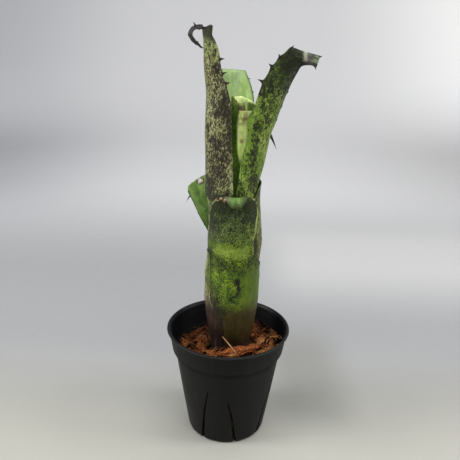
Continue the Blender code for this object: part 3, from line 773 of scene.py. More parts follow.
def paint_right_leaf(leaf, p, share, to_end, inner):
    x, z = p[:, 0], p[:, 2]
    if inner:
        return Skin((96, 134, 62), (124, 160, 84), fractal(p, (8, 8, 30), 3), 0.10, 0.06)
    skin = Skin((108, 136, 50), (146, 168, 80), clouds(p, (6, 6, 18), 12, 0.35))
    upper = smooth(z, 332, 358)
    skin.tint(76, 100, 40, upper * 0.85)
    skin.tint(46, 58, 30, smooth(x, 34, 46) * smooth(z, 348, 364) * 0.8)
    # Painted sheen: a light grey-green stripe near the right margin of the upper blade
    skin.tint(92, 98, 80, between(share, 0.62, 0.82, 0.9, 1) * smooth(z, 322, 348) * 0.8)
    dark = spots(
        p,
        (
            (23.5, 333, 3.2, 6, 0.5), (20, 317, 3, 6, 0.55), (18.6, 303, 3.4, 9, 0.6), (18, 286, 3.6, 8, 0.6),
            (19, 263, 4.5, 9, 0.6), (29, 320, 3, 7, 0.45), (25, 342, 4, 6, 0.4), (33, 352, 6, 9, 0.25),
            (44, 366, 7, 7, 0.35),
        ),
        0.6,
    )
    skin.fleck = 0.36 + 0.6 * (fractal(p, (8, 8, 15), 31) - 0.5) + 0.12 * upper
    skin.blotch = 0.16 + 1 * (fractal(p, (7, 7, 12), 41) - 0.5) + dark * in_front(p, 2) + 0.25 * upper
    margin = smooth(share, 0.12, 0.04) * between(z, 276, 292, 322, 336)
    skin.tint(112, 144, 52, margin * 0.8)
    skin.tint(82, 78, 76, smooth(x, 55.5, 57.2) * 0.85)
    skin.tint(176, 174, 156, between(x, 56.6, 57.6, 59.6, 61.2) * 0.85)
    streaks = smooth(value_noise(p * np.array([0.16, 1, 1]), 1.6, 77), 0.35, 0.65)
    tip = Skin((54, 60, 50), (104, 114, 88), streaks)
    skin.colour = mix(skin.colour, tip.colour, smooth(x, 59.8, 61.2))
    skin.tint(38, 36, 34, smooth(share, 0.62, 0.80) * smooth(x, 50, 55) * 0.95)
    skin.tint(84, 76, 78, between(x, 59.5, 61, 62, 66) * 0.7)
    worn = smooth(x, 54.5, 57)
    skin.fleck = skin.fleck * (1 - 0.6 * margin) * (1 - 0.8 * worn)
    skin.limit(0.62, 0.9)
    skin.blotch = skin.blotch * (1 - 0.9 * margin) * (1 - worn)
    skin.dry = worn * 0.5
    return skin


def paint_back_leaf(leaf, p, share, to_end, inner):
    x, z = p[:, 0], p[:, 2]
    if not inner:
        fleck = np.clip(0.22 + 0.6 * (fractal(p, (8, 8, 14), 14) - 0.5), 0, 0.6)
        return Skin((104, 138, 66), (136, 164, 90), fractal(p, (7, 7, 24), 13), fleck, 0.12)
    # Inner face: its own pale green, lightened further as painted light for the light falling on it from
    # above and behind
    skin = Skin((182, 216, 126), (202, 230, 158), clouds(p, (5, 5, 40), 15), 0.03)
    midrib = smooth(np.abs(x - (1 + (z - 344) * 0.1)), 3.4, 0.6)
    skin.tint(220, 238, 206, midrib * smooth(z, 318, 340) * 0.5)
    skin.tint(196, 226, 170, smooth(z, 340, 356) * 0.5)
    skin.tint(66, 84, 48, smooth(np.minimum(share, 1 - share), 0.035, 0.012) * 0.85)
    cut = smooth(to_end, 0.9, 0.2)
    skin.tint(98, 112, 70, cut * 0.8)
    skin.dry = 0.15 * cut
    return skin


def paint_inner_leaf(leaf, p, share, to_end, inner):
    skin = Skin((216, 238, 136), (236, 250, 172), clouds(p, (4, 4, 26), 17), 0.02 if inner else 0.05)
    skin.tint(104, 132, 52, smooth(p[:, 2], 286, 262) * 0.8)
    if inner:
        return skin
    skin.tint(150, 122, 96, ellipse(p, 7.5, 322, 6, 6, 0.7) * clouds(p, (3, 3, 4), 18, 0.4, 0.6) * 0.8)
    for place in ((7.4, 301.6, 1.6, 2), (6.7, 282.6, 1, 3), (8.6, 321, 3.4, 1.2)):
        skin.tint(112, 84, 52, ellipse(p, *place) * 0.75)
    skin.tint(196, 186, 132, smooth(to_end, 1.2, 0.2) * 0.8)
    skin.tint(78, 104, 40, smooth(share, 0.06, 0.02) * 0.7)
    return skin


def paint_rolled_leaf(leaf, p, share, to_end, inner):
    x, z = p[:, 0], p[:, 2]
    if inner:
        skin = Skin((214, 240, 134), (236, 250, 178), clouds(p, (4, 4, 24), 27), 0.05)
        # Painted shade: below the pale rim the inner face turns dark green, first on the right and then all
        # round
        skin.tint(72, 96, 34, smooth(x, 9.5, 13.5) * smooth(z, 332.5, 330.5) * 0.9)
        skin.tint(70, 92, 30, smooth(z, 325, 318))
        return skin
    skin = Skin((72, 108, 30), (102, 138, 44), clouds(p, (4, 4, 24), 28), 0.16, 0.12)
    skin.tint(60, 84, 28, smooth(x, 8, 13) * smooth(z, 316, 322) * 0.8)
    skin.tint(136, 176, 62, smooth(x, 3, -1) * smooth(z, 320, 328) * 0.8)
    skin.tint(126, 104, 88, ellipse(p, 6.6, 330, 4, 3, 0.6) * 0.75)
    skin.tint(176, 186, 110, smooth(to_end, 1, 0.1))
    return skin


def paint_left_stub(leaf, p, share, to_end, inner):
    x, z = p[:, 0], p[:, 2]
    if not inner:
        fleck = np.clip(0.36 + 0.7 * (fractal(p, (7, 7, 12), 20) - 0.5), 0, 0.75)
        return Skin((104, 128, 66), (134, 152, 92), fractal(p, (7, 7, 20), 19), fleck, 0.15)
    skin = Skin((120, 158, 74), (150, 186, 100), clouds(p, (5, 5, 34), 22), 0.02)
    skin.tint(120, 162, 96, smooth(np.abs(share - 0.52), 0.10, 0.02) * 0.4)
    skin.tint(62, 98, 56, smooth(z, 222, 206) * 0.6)
    cut = smooth(to_end + leaf.along.max() - leaf.length, 1.6, 0.2)
    skin.tint(112, 94, 62, cut * 0.85)
    scar = np.hypot((x + 30) / 2.2, (z - 252.4) / 1.6) + (fractal(p, 2.2, 25) - 0.5) * 0.3
    skin.tint(92, 60, 40, smooth(scar, 1.9, 1.45))
    skin.tint(255, 250, 238, smooth(scar, 1.2, 1))
    skin.tint(70, 92, 58, ellipse(p, -31.8, 243, 2, 2.2, 0.8) * 0.45)
    for place in ((-24.4, 226.6), (-27.2, 219.4)):
        skin.tint(40, 52, 32, ellipse(p, *place, 0.9, 0.9, 0.4) * 0.8)
    skin.tint(70, 84, 46, smooth(share, 0.965, 0.99) * 0.8)
    skin.dry = cut * 0.5
    return skin


def paint_front_stub(leaf, p, share, to_end, inner):
    x, z = p[:, 0], p[:, 2]
    if inner:
        skin = Skin((92, 122, 56), (124, 156, 84), clouds(p, (3, 3, 4), 35), 0.03)
        skin.tint(104, 112, 84, smooth(x, 1, -3) * 0.85)
        skin.tint(68, 84, 44, smooth(x, 7.5, 12) * 0.85)
        skin.tint(58, 74, 34, smooth(to_end + 7, 1.5, -2.5) * 0.8)
        return skin
    front = in_front(p, 0)
    zw = z + (fractal(p, (10, 10, 8), 36) - 0.5) * 9
    skin = Skin((84, 114, 24), (122, 148, 38), clouds(p, (7, 7, 12), 37))
    skin.tint(74, 96, 24, smooth(x, 8, 18) * smooth(zw, 205, 180) * 0.85)
    edge = z + (fractal(p, (5, 5, 4), 30) - 0.5) * 11
    band = between(edge, 192, 200, 203, 210) * between(x, -22, -8, 12, 24)
    skin.tint(136, 156, 62, band * 0.85)
    above, high = smooth(zw, 205, 214), smooth(zw, 220, 240)
    skin.tint(94, 110, 52, above * 0.85)
    skin.tint(66, 80, 40, high * 0.8)
    skin.colour = mix(skin.colour, skin.colour * 1.45, clouds(p, (5, 5, 5), 40, 0.36, 0.62) * above)
    skin.tint(72, 66, 62, ellipse(p, -15, 222, 7, 9, 0.8) * 0.6 * front)
    skin.tint(94, 112, 64, ellipse(p, 2.5, 232, 8, 14, 0.8) * 0.6 * front)
    skin.tint(64, 50, 28, smooth(zw, 158, 134) * 0.94)
    skin.tint(48, 33, 24, smooth(zw, 122, 102) * 0.85)
    skin.tint(62, 42, 38, smooth(x, -2, -14) * smooth(zw, 176, 138) * 0.9 * front)

    cloud = fractal(p, (6, 6, 9), 38)
    speckles = between(zw, 174, 190, 193, 204)
    fleck = (0.30 + 0.7 * (cloud - 0.5) + 0.26 * speckles * (0.5 + cloud)) * (1 - 0.65 * band)
    fleck = fleck + 0.10 * above + 0.06 * high
    fleck = fleck + 0.16 * smooth(x, 6, -4) * between(zw, 146, 158, 184, 192) * (0.4 + cloud)
    fleck = fleck * (1 - 0.8 * smooth(x, 9, 18) * smooth(zw, 192, 174) * front)
    skin.fleck = fleck * (1 - 0.7 * smooth(zw, 150, 134))
    skin.blotch = 0.10 * speckles + (0.20 + 0.9 * (fractal(p, (8, 8, 9), 39) - 0.5)) * above + 0.25 * high
    skin.blotch = skin.blotch + front * spots(
        p,
        (
            (7.6, 171.5, 2.6, 4.4, 0.95), (8.6, 163.5, 2.4, 4, 0.7), (6, 157, 4, 3, 0.7),
            (2.5, 152.5, 3, 2.6, 0.6), (-4.4, 141.5, 3.6, 6, 0.5), (-17.5, 195, 4, 5, 0.55),
            (-11, 246, 6.5, 6.5, 0.45), (16.5, 245, 6.5, 8, 0.5), (-14.9, 230, 5, 7, 0.45),
            (21, 232, 5.5, 10, 0.45), (-12, 146, 4, 8, 0.5), (-9.5, 128, 5, 12, 0.7),
        ),
        0.55,
    )
    for x0, z0, wide, tall, much in (
        (7.6, 171.6, 1.9, 3.6, 1), (8.6, 165.6, 1.4, 2.6, 0.9), (7.6, 160.2, 1.8, 2, 0.85),
        (5, 156.6, 2.2, 1.5, 0.85), (2.2, 153.8, 1.9, 1.3, 0.8),
    ):
        skin.tint(22, 20, 15, ellipse(p, x0, z0, wide, tall, 0.2) * much)
    left, right = leaf.point[:, 0], leaf.point[:, -1]
    row_width = np.interp(z, left[:, 2], np.linalg.norm(right - left, axis=1))
    ravel = (fractal(p, (3, 3, 3), 34) - 0.5) * 2.4
    margin = smooth(np.minimum(share, 1 - share) * row_width + ravel, 2.3, 1.2)
    margin = margin * smooth(z, 208, 224) * clouds(p, (4, 4, 4), 33, 0.34, 0.5)
    skin.tint(154, 162, 100, margin * 0.8)
    skin.clear(margin)
    cut = smooth((leaf.along[-1] - leaf.along).ravel(), 1.4, 0.2)
    skin.tint(112, 98, 62, cut * 0.7)
    for place, tone in (
        ((-8.6, 252.8, 1.9, 1.3), (112, 72, 50)), ((-6.4, 250.8, 1, 1.6), (132, 78, 52)),
        ((-9.4, 253.6, 0.9, 0.8), (236, 208, 178)), ((-12.2, 250.6, 0.9, 0.6), (190, 166, 128)),
        ((-5.4, 253.4, 1, 0.9), (240, 216, 184)),
    ):
        spot = ellipse(p, *place, 0.35) * (p[:, 1] < -15)
        skin.tint(*tone, spot * 0.95)
        skin.clear(spot)
    skin.limit(0.72, 0.95)
    skin.dry = cut * 0.5
    return skin


def paint_right_stub(leaf, p, share, to_end, inner):
    z = p[:, 2]
    if inner:
        return Skin((92, 104, 60), (122, 130, 84), fractal(p, (5, 5, 20), 45), 0.36, 0.2)
    skin = Skin((90, 104, 40), (118, 130, 62), clouds(p, (6, 6, 16), 46))
    skin.tint(124, 134, 62, smooth(z, 205, 222) * 0.6)
    skin.tint(68, 56, 28, smooth(z, 158, 134) * 0.9)
    skin.tint(48, 36, 26, smooth(z, 122, 102) * 0.8)
    skin.tint(116, 112, 66, ellipse(p, 23.6, 204, 4.6, 16, 0.45, 47) * in_front(p, 8) * 0.5)
    skin.tint(42, 30, 24, ellipse(p, 22.9, 203, 2.6, 12, 0.4, 47) * in_front(p, 8) * 0.95)
    skin.fleck = 0.30 + 0.8 * (fractal(p, (7, 7, 11), 48) - 0.5) + 0.15 * smooth(z, 225, 245)
    skin.blotch = 0.15 + 0.8 * (fractal(p, (9, 9, 12), 49) - 0.5) + 0.3 * ellipse(p, 23, 262, 6, 10)
    skin.limit(0.65, 0.8)
    return skin


def paint_basal_sheath(leaf, p, share, to_end, inner):
    z = p[:, 2]
    if inner:
        return Skin((110, 120, 70), (130, 136, 88), fractal(p, (5, 5, 14), 55), 0.1)
    cloud = fractal(p, (6, 6, 10), 59)
    low = smooth(z, 154, 136)
    skin = Skin((116, 136, 64), (152, 162, 104), clouds(p, (5, 5, 18), 56), dry=low * 0.2)
    skin.tint(158, 136, 112, smooth(z, 174, 158) * 0.6)
    skin.tint(48, 28, 21, low * 0.95)
    skin.tint(24, 14, 9, smooth(z, 132, 108) * 0.9)
    skin.tint(88, 112, 36, smooth(share, 0.62, 0.94) * smooth(z, 148, 162) * 0.85)
    skin.tint(46, 30, 34, clouds(p, (2.2, 2.2, 34), 57, 0.52, 0.66) * smooth(z, 172, 146) * 0.75)
    skin.tint(124, 100, 84, clouds(p, (2.5, 2.5, 30), 58, 0.58, 0.7) * smooth(z, 185, 120) * 0.25)
    skin.fleck, skin.blotch = 0.18 + 0.7 * (cloud - 0.5), 0.5 * (cloud - 0.4)
    skin.limit(0.6, 0.5)
    return skin


# ---------------------------------------------------------------- the leaves


def swells(leaf, amount, size, seed, low=0):
    """Gentle relief over a leaf, from a share of its length upwards."""
    reach = smooth(leaf.along / leaf.length, low, low + 0.1)
    return (fractal(leaf.point, size, seed, 2) - 0.5) * 2 * amount * reach


def ragged(seed, amount, shape=np.zeros_like):
    """How unevenly a leaf was cut along its end, on top of the cut's own shape."""

    def reach(shares):
        places = np.stack([shares * 40, np.zeros_like(shares), np.zeros_like(shares)], axis=1)
        return (fractal(places, 4, seed) - 0.5) * 2 * amount + shape(shares)

    return reach


def scallops(leaf, column, heights, depth):
    """Margin offsets for every row: level at the spines' heights and drawn in between them."""
    z = leaf.point[:, column, 2]
    inside = (z > heights[0]) & (z < heights[-1])
    phase = np.interp(z, heights, np.arange(len(heights)))
    return np.where(inside, -depth * np.abs(np.sin(np.pi * phase)) ** 0.7, 0)


def spines(leaf, side, *table):
    """Spines of a margin: (height, tip, width, thickness, bow)."""
    return [spine(leaf, side, *line) for line in table]


def add_basal_sheath():
    leaf = Leaf(BASAL_SHEATH, 40, 1.3, top=ragged(61, 0.6, lambda shares: -6), top_from=9)
    height = leaf.point[..., 2]
    hug = smooth(leaf.share, 0.72, 1) * (1.3 + 0.3 * smooth(height, 130, 175))
    hug = np.maximum(hug, 1.5 * smooth(height, 174, 188))
    leaf.spread(0, (value_noise(leaf.point[:, -1], 7, 60) - 0.5) * 2.4, 0.35)
    leaf.push(swells(leaf, 0.25, (5, 5, 30), 62) * smooth(leaf.share, 1, 0.72) - hug)
    skin = leaf_skin("leaf_basal_skin", (40, 32, 34), (48, 34, 38), stretch=3, roughness=0.5)
    add_leaf("basal_sheath_leaf", "basal_sheath", "leaf_mottled", skin, leaf, paint_basal_sheath, 0.6, 0.1)


FRONT_LIP_CENTRE = 0.54
FRONT_LIP_HALF = 0.29
FRONT_LIP_REACH = 11.8


def front_lip(shares):
    """The tongue of the front stub that is rolled over, with lower corners beside it."""
    away = np.abs(shares - FRONT_LIP_CENTRE) / FRONT_LIP_HALF
    corners = 4 * smooth(shares, 0.10, 0) + 2.2 * smooth(shares, 0.93, 1)
    return FRONT_LIP_REACH * np.clip(1.15 - away**1.8, 0, 1) - corners


def add_front_stub():
    leaf = Leaf(FRONT_STUB, 84, 1.25, top=ragged(63, 0.7, front_lip), top_from=9)
    leaf.push(swells(leaf, 0.35, (12, 12, 16), 64, 0.25))
    leaf.curl(leaf.length - 1.2, 2.6, 152)
    skin = leaf_skin("leaf_front_skin", (30, 36, 18), (30, 30, 24), (1.1, 4.2), 1.35)
    add_leaf("front_stub_leaf", "leaf_front_stub", "leaf_green", skin, leaf, paint_front_stub)


def add_right_stub():
    leaf = Leaf(RIGHT_STUB, 60, 1.4, top=ragged(65, 0.8), top_from=8)
    leaf.push(swells(leaf, 0.25, (12, 12, 18), 66, 0.3))
    skin = leaf_skin("leaf_right_stub_skin", (48, 50, 32), (38, 32, 28), (1.4, 4.4), 1.7)
    thorns = [spine(leaf, "right", z, (2.6, 1.6), 2.4, 0.9) for z in (222, 236, 248)]
    add_leaf("right_stub_leaf", "leaf_right_stub", "leaf_pale", skin, leaf, paint_right_stub, thorns=thorns)


def slanting_cut(shares):
    """The left stub's cut climbs from its outer corner to the trunk."""
    return 5.5 * (1 - shares**1.6) - 2.5 * smooth(shares, 0.75, 1)


def add_left_stub():
    leaf = Leaf(LEFT_STUB, 44, 1.2, hidden_below=195, top=ragged(67, 0.5, slanting_cut), top_from=9)
    crease = bell(leaf.share, 0.52, 0.08) * leaf.near_end(45, 0)
    leaf.spread(0, 0.8 * smooth(leaf.point[:, -1, 2], 205, 222))
    leaf.push(swells(leaf, 0.35, (9, 9, 22), 68, 0.6) + 0.5 * crease)
    skin = leaf_skin("leaf_left_stub_skin", (38, 44, 30), (36, 34, 28), (1.3, 4), 2)
    thorns = spines(leaf, "right", (244.5, (-41.9, 2, 238.6), 2.4, 0.9, 0.5))
    thorns += spines(leaf, "right", (228, (1.7, 1.2), 1.8, 0.8), (217, (1.4, 1), 1.6, 0.8))
    thorns += spines(leaf, "left", (246, (2.8, 1.6), 2.2, 0.9), (233, (2.4, 1.4), 2, 0.9))
    add_leaf("left_stub_leaf", "leaf_left_stub", "leaf_green", skin, leaf, paint_left_stub, 0.9, 0.5, thorns)


LEFT_LEAF_SPINES = (334, 351.2, 360, 371)
LEFT_LEAF_BACK_SPINES = range(280, 380, 14)


def add_left_leaf():
    leaf = Leaf([*LEFT_LEAF, *left_tip_sections()], 52, 1.3, hidden_below=235)
    dips = scallops(leaf, -1, LEFT_LEAF_SPINES, 0.7)
    back_dips = scallops(leaf, 0, LEFT_LEAF_BACK_SPINES, 0.5)
    from_end = leaf.length - leaf.along[:, -1]
    torn = (value_noise(leaf.point[:, -1], 2.6, 79) - 0.5) * 1.6 * smooth(from_end, 34, 28)
    leaf.spread(back_dips + torn, dips + between(from_end, 32, 38, 56, 66) - torn)
    corner = bell(from_end, 30.8, 2.3)[:, None] * smooth(leaf.share, 0.45, 1)
    leaf.point = leaf.point + corner[..., None] * np.array([2, 0.5, 4.2])
    crumpled = (fractal(leaf.point, 3, 78, 2) - 0.5) * 1.6 * leaf.near_end(33, 27)
    leaf.push(swells(leaf, 0.45, (10, 10, 26), 69, 0.45) * (1 - 0.6 * leaf.near_end(50, 30)) + crumpled)
    skin = leaf_skin("leaf_left_skin", (38, 32, 28), (66, 50, 52), (1.1, 4.6), 2, 0.5)
    thorns = spines(
        leaf,
        "right",
        (370.6, (-8.4, -12.4, 371.6), 3.4, 1.1, 0.3), (359.8, (-6.2, -14, 360.8), 3.2, 1.1, 0.3),
        (351.2, (-3.2, -15, 352.3), 3.4, 1.1, 0.3), (333.6, (-0.6, -15.5, 334.2), 2.8, 1, 0.3),
        (318, (1.6, 1.2), 2.2, 0.9),
    )
    thorns += [spine(leaf, "left", z, (3, 1.8), 3, 1, 0.3) for z in LEFT_LEAF_BACK_SPINES]
    thorns.append(free_spine((-33.6, -6.5, 397), (-35.7, -7, 400.4), (0, -1, 0), 2.2, 0.9))
    add_leaf("left_leaf", "leaf_left", "leaf_mottled", skin, leaf, paint_left_leaf, 1, 0.55, thorns)


def free_spine(root, tip, face, width, thick, bow=0):
    """A spine on the leaf's torn end, between two given places."""
    return np.array(root), np.array(tip), np.array(face), width, thick, bow


RIGHT_LEAF_SPINES = (353.6, 365.6, 373.6, 381.4)
RIGHT_LEAF_BACK_SPINES = (285, 298, 318, 331, 343)


def add_right_leaf():
    leaf = Leaf(RIGHT_LEAF, 52, 1.3, hidden_below=235, top=ragged(70, 0.7), top_from=8)
    z = leaf.point[:, 0, 2]
    feet = sum(1.3 * bell(z, height, 2.2) for height in RIGHT_LEAF_SPINES)
    leaf.spread(feet + 3 * bell(z, 320, 10), scallops(leaf, -1, RIGHT_LEAF_BACK_SPINES, 0.6))
    leaf.push(swells(leaf, 0.45, (10, 10, 24), 71, 0.45))
    skin = leaf_skin("leaf_right_skin", (30, 32, 20), (32, 28, 26), (1.15, 3.6), 1.7, 0.48)
    thorns = spines(
        leaf,
        "left",
        (353.8, (18.8, -14, 355.6), 3.4, 1.1, -0.3), (365.8, (27.6, -12.6, 368.6), 3.4, 1.1, -0.3),
        (373.8, (35.7, -11.6, 376.9), 3, 1, -0.2), (381.2, (48.6, -10.6, 384), 3.2, 1, 0),
    )
    thorns.append(free_spine((31, 4.6, 306.5), (39.2, 5.4, 289.6), (0.6, -0.8, 0), 4.4, 1.8, 0.8))
    thorns.append(free_spine((70, -5.5, 374.2), (73.4, -5, 374.8), (0, -1, 0), 2, 0.9))
    thorns.append(free_spine((66.6, -13, 367.6), (67.6, -13.2, 364.4), (0, -1, 0), 2.2, 0.9))
    thorns += [spine(leaf, "right", height, (3.2, 1.2), 3, 1, 0.3) for height in RIGHT_LEAF_BACK_SPINES]
    add_leaf("right_leaf", "leaf_right", "leaf_green", skin, leaf, paint_right_leaf, 1, 0.55, thorns)


def add_back_leaf():
    leaf = Leaf(BACK_LEAF, 44, 1.3, hidden_below=235, top=ragged(72, 0.25), top_from=5)
    fold = bell(leaf.share, 0.5, 0.05) * leaf.near_end(70, 20)
    leaf.push(swells(leaf, 0.3, (9, 9, 30), 73, 0.6) + 0.35 * fold)
    skin = leaf_skin("leaf_back_skin", (44, 52, 30), (40, 40, 28), (1.2, 4), 2, 0.45, 0.35)
    thorns = spines(
        leaf, "left", (349.6, (1.9, 1), 2.2, 0.8), (338, (1.7, 0.9), 2, 0.8), (325, (1.5, 0.8), 1.8, 0.8)
    )
    thorns += spines(leaf, "right", (347, (1.9, 1), 2.2, 0.8), (334, (1.8, 1), 2.2, 0.8))
    add_leaf("back_leaf", "leaf_back", "leaf_pale", skin, leaf, paint_back_leaf, 0.9, 0.5, thorns)


def add_inner_leaf():
    leaf = Leaf(INNER_LEAF, 36, 1.3, hidden_below=235, top=ragged(74, 0.4), top_from=5)
    leaf.push(swells(leaf, 0.2, (6, 6, 24), 75, 0.6))
    skin = leaf_skin("leaf_inner_skin", (96, 88, 50), (110, 84, 54), (1.3, 3), 2.4, 0.42, 0.6)
    add_leaf("inner_leaf", "leaf_inner", "leaf_pale", skin, leaf, paint_inner_leaf, 0.9)


# The young leaf's mouth: (share across the leaf, reach beyond its last cross-section)
MOUTH = ((0, -2), (0.1, -1.5), (0.2, 0), (0.375, 3), (0.65, 3.5), (0.78, 6.5), (0.92, 1), (1, 2.5))


def add_rolled_leaf():
    mouth = ragged(76, 0.3, lambda shares: np.interp(shares, *zip(*MOUTH)))
    leaf = Leaf(ROLLED_LEAF, 72, 1.4, hidden_below=235, top=mouth)
    skin = leaf_skin("leaf_rolled_skin", (46, 62, 24), (52, 60, 34), (1.2, 3.6), 2.4, 0.42)
    add_leaf("rolled_leaf", "leaf_rolled", "leaf_pale", skin, leaf, paint_rolled_leaf, 0.9)


# ---------------------------------------------------------------- pot

POT_HEIGHT = 112
POT_BASE_RADIUS = 34
POT_WALL = 1.3
POT_FLOOR = 1.8
POT_SEGMENTS = 288
POT_CREASE = math.radians(38)
# Outer side of the pot from its base to its lip: (radius, height, corner rounding)
POT_OUTER = (
    (POT_BASE_RADIUS, 0, 0.3), (36.9, 1, 1), (38.3, 4, 1.6), (44.2, 40, 4), (51, 84, 0.8),
    (54.6, 90, 0.8), (56.2, 100, 2), (57.2, 109.4, 0.35), (59.4, 109.8, 0.3), (60.1, 110.8, 0.45),
    (59.4, 111.7, 0.45), (58, POT_HEIGHT, 0.3),
)
# The pot's outline starts and ends at a small cap in the middle of its floor
FLOOR_CENTRE_RADIUS = 0.6
SLIT_PAIRS = 4
SLIT_PAIR_AZIMUTH = -11
SLITS = ((-1, 65), (1, 54))
SLIT_FOOT_HEIGHT = -2
SLIT_FOOT_ANGLE = 26.1
SLIT_LEAN = 0.23
# Foot and top of a slit's cutter: (width, nearest and furthest distance from the axis)
SLIT_FOOT = (3.4, 28, 50)
SLIT_TOP = (1, 40, 54)


def rounded(outline, steps=4):
    """An open outline of (r, z, rounding) with each corner replaced by a short curve."""
    points = [outline[0][:2]]
    for before, corner, after in zip(outline, outline[1:], outline[2:]):
        here = np.array(corner[:2])
        back, ahead = np.array(before[:2]) - here, np.array(after[:2]) - here
        cut = min(corner[2], 0.45 * np.linalg.norm(back), 0.45 * np.linalg.norm(ahead))
        points += bent(here + unit(back) * cut, here, here + unit(ahead) * cut, steps).tolist()
    return [*points, outline[-1][:2]]


def bent(start, corner, end, steps):
    """Points along a curve from start to end that leans towards a corner."""
    t = np.linspace(0, 1, steps)[:, None]
    return (1 - t) ** 2 * start + 2 * t * (1 - t) * corner + t * t * end


def pot_inner_radius(height):
    """Radius of the pot's inner wall at a height."""
    radii, heights, _ = zip(*POT_OUTER[:8])
    return np.interp(height, heights, radii) - POT_WALL


def turned(outline, segments):
    """Vertices and faces of an outline turned about the upright axis, capped at its ends."""
    turn = np.arange(segments) * math.tau / segments
    r, z = np.array(outline).T[..., None]
    grid = np.stack([r * np.cos(turn), r * np.sin(turn), np.repeat(z, segments, axis=1)], axis=-1)
    return grid.reshape(-1, 3), capped(len(r), segments)


def slit_cutter(azimuth, side, top_height):
    """A wedge through wall and floor edge: narrow at the top, wide and swung sideways at the foot."""
    shape = bmesh.new()
    corners = []
    for height, (width, near, far) in ((SLIT_FOOT_HEIGHT, SLIT_FOOT), (top_height, SLIT_TOP)):
        angle = azimuth + side * (SLIT_FOOT_ANGLE - SLIT_LEAN * (height - SLIT_FOOT_HEIGHT))
        for distance, edge in ((near, -1), (near, 1), (far, 1), (far, -1)):
            point = direction(angle) * distance + direction(angle + 90) * edge * width / 2
            corners.append(shape.verts.new((point + (0, 0, height)) * MM))
    foot, top = corners[:4], corners[4:]
    shape.faces.new(foot)
    shape.faces.new(top)
    for i, j in ((0, 1), (1, 2), (2, 3), (3, 0)):
        shape.faces.new((foot[i], foot[j], top[j], top[i]))
    bmesh.ops.triangulate(shape, faces=shape.faces)
    bmesh.ops.recalc_face_normals(shape, faces=shape.faces)
    mesh = bpy.data.meshes.new("slit_cutter")
    shape.to_mesh(mesh)
    shape.free()
    return add_object("slit_cutter", mesh)


def add_pot(finish):
    inner = [(POT_OUTER[-1][0] - POT_WALL / 2, POT_HEIGHT - 0.3, 0.3)]
    inner += [(radius - POT_WALL, height, 0.6) for radius, height, _ in reversed(POT_OUTER[2:8])]
    inner += [(POT_BASE_RADIUS - 0.5, POT_FLOOR, 0.3), (FLOOR_CENTRE_RADIUS, POT_FLOOR, 0)]
    outline = rounded([(FLOOR_CENTRE_RADIUS, 0, 0), *POT_OUTER, *inner])
    pot = new_mesh("pot_shell", *turned(outline, POT_SEGMENTS))
    cutters = [
        slit_cutter(SLIT_PAIR_AZIMUTH + pair * 360 / SLIT_PAIRS, side, top_height)
        for pair in range(SLIT_PAIRS)
        for side, top_height in SLITS
    ]
    for cutter in cutters:
        cut = pot.modifiers.new("slit", "BOOLEAN")
        cut.operation = "DIFFERENCE"
        cut.solver = "EXACT"
        cut.object = cutter
    cut_mesh = bpy.data.meshes.new_from_object(pot.evaluated_get(bpy.context.evaluated_depsgraph_get()))
    pot.modifiers.clear()
    pot.data = cut_mesh
    for cutter in cutters:
        bpy.data.objects.remove(cutter)
    cut_mesh.shade_smooth()
    cut_mesh.set_sharp_from_angle(angle=POT_CREASE)
    place = np.empty(len(cut_mesh.vertices) * 3, np.float32)
    cut_mesh.vertices.foreach_get("co", place)
    x, y, z = place.reshape(-1, 3).T / MM
    radius = np.hypot(x, y)
    outside = smooth(radius - pot_inner_radius(z), 0.6, 0.9)
    # Painted shade: darker under the shoulder step outside, and low down on the inner wall
    under = between(z, 83.2, 84.4, 89.8, 90.8) * outside
    inner_wall_shade = smooth(z, 108, 98) * (1 - outside)
    set_attribute(pot, "rim", "FLOAT", bell(radius, 59.8, 0.9) * smooth(z, 109, 110))
    set_attribute(pot, "pot_painted_shade", "FLOAT", np.maximum(under, 1.6 * inner_wall_shade))
    fix_in_place(pot, "black_plastic", finish, "pot")


# ---------------------------------------------------------------- husk medium

MEDIUM_CLEARANCE = 0.4
MEDIUM_TOP = 91.5
MEDIUM_SLOPE = 0.09
MEDIUM_SEGMENTS = 150
MEDIUM_SIDE_ROWS = 26
MEDIUM_TOP_ROWS = 30
HEAP_CENTRE = (6, -22)
HEAP_HEIGHT = 7
HEAP_SPREAD = 14
BACK_SINK = 4
TRUNK_FOOT = (2, -0.5)
TRUNK_FOOT_RADIUS = 20
# Large husk chips: (azimuth, distance from the trunk's axis, length, width, height, yaw)
CHIPS = (
    (11, 33, 36, 9, 4.4, 4), (48, 30, 15, 7, 3.8, 30), (84, 30.5, 16, 8, 4.6, 80),
    (126, 29.5, 15, 6.5, 3.6, 125), (168, 29, 17, 7, 4, 165), (212, 29.5, 15, 7.5, 4.4, 215),
    (252, 30, 16, 6.5, 3.6, 252), (290, 30, 17, 8, 4.8, 290), (326, 29.5, 16, 6.5, 3.8, 328),
    (24, 44, 20, 6.5, 3.4, 22), (62, 44.5, 18, 7.5, 4.4, 60), (104, 45, 17, 6.5, 3.8, 106),
    (148, 44.5, 19, 7, 3.6, 146), (192, 44.5, 18, 6.5, 3.8, 194), (234, 44.5, 17, 7, 3.6, 232),
    (272, 44, 19, 7, 4.4, 272), (308, 44.5, 18, 6, 3.6, 310), (346, 44.5, 19, 6.5, 3.4, 345),
)
# The first chip lies tilted over the heap: (pitch, lift, roll)
FRONT_CHIP_TILT = (-0.16, 2.2, 0.25)
HUSK_CREASE = math.radians(50)
SMALL_CHIPS = 100
SMALL_CHIP_SHADES = (0.12, 0.25, 0.4, 0.65, 1, 1.45)
FIBRES = 220
FIBRE_STEPS = 7


def medium_height(x, y):
    """Height of the medium's surface: fuller on the right, heaped before the trunk and sunk behind it."""
    away = np.hypot(x - HEAP_CENTRE[0], y - HEAP_CENTRE[1]) / HEAP_SPREAD
    level = MEDIUM_TOP + MEDIUM_SLOPE * x - BACK_SINK * smooth(y, 2, 26)
    return level + HEAP_HEIGHT * np.exp(-away * away / 2)


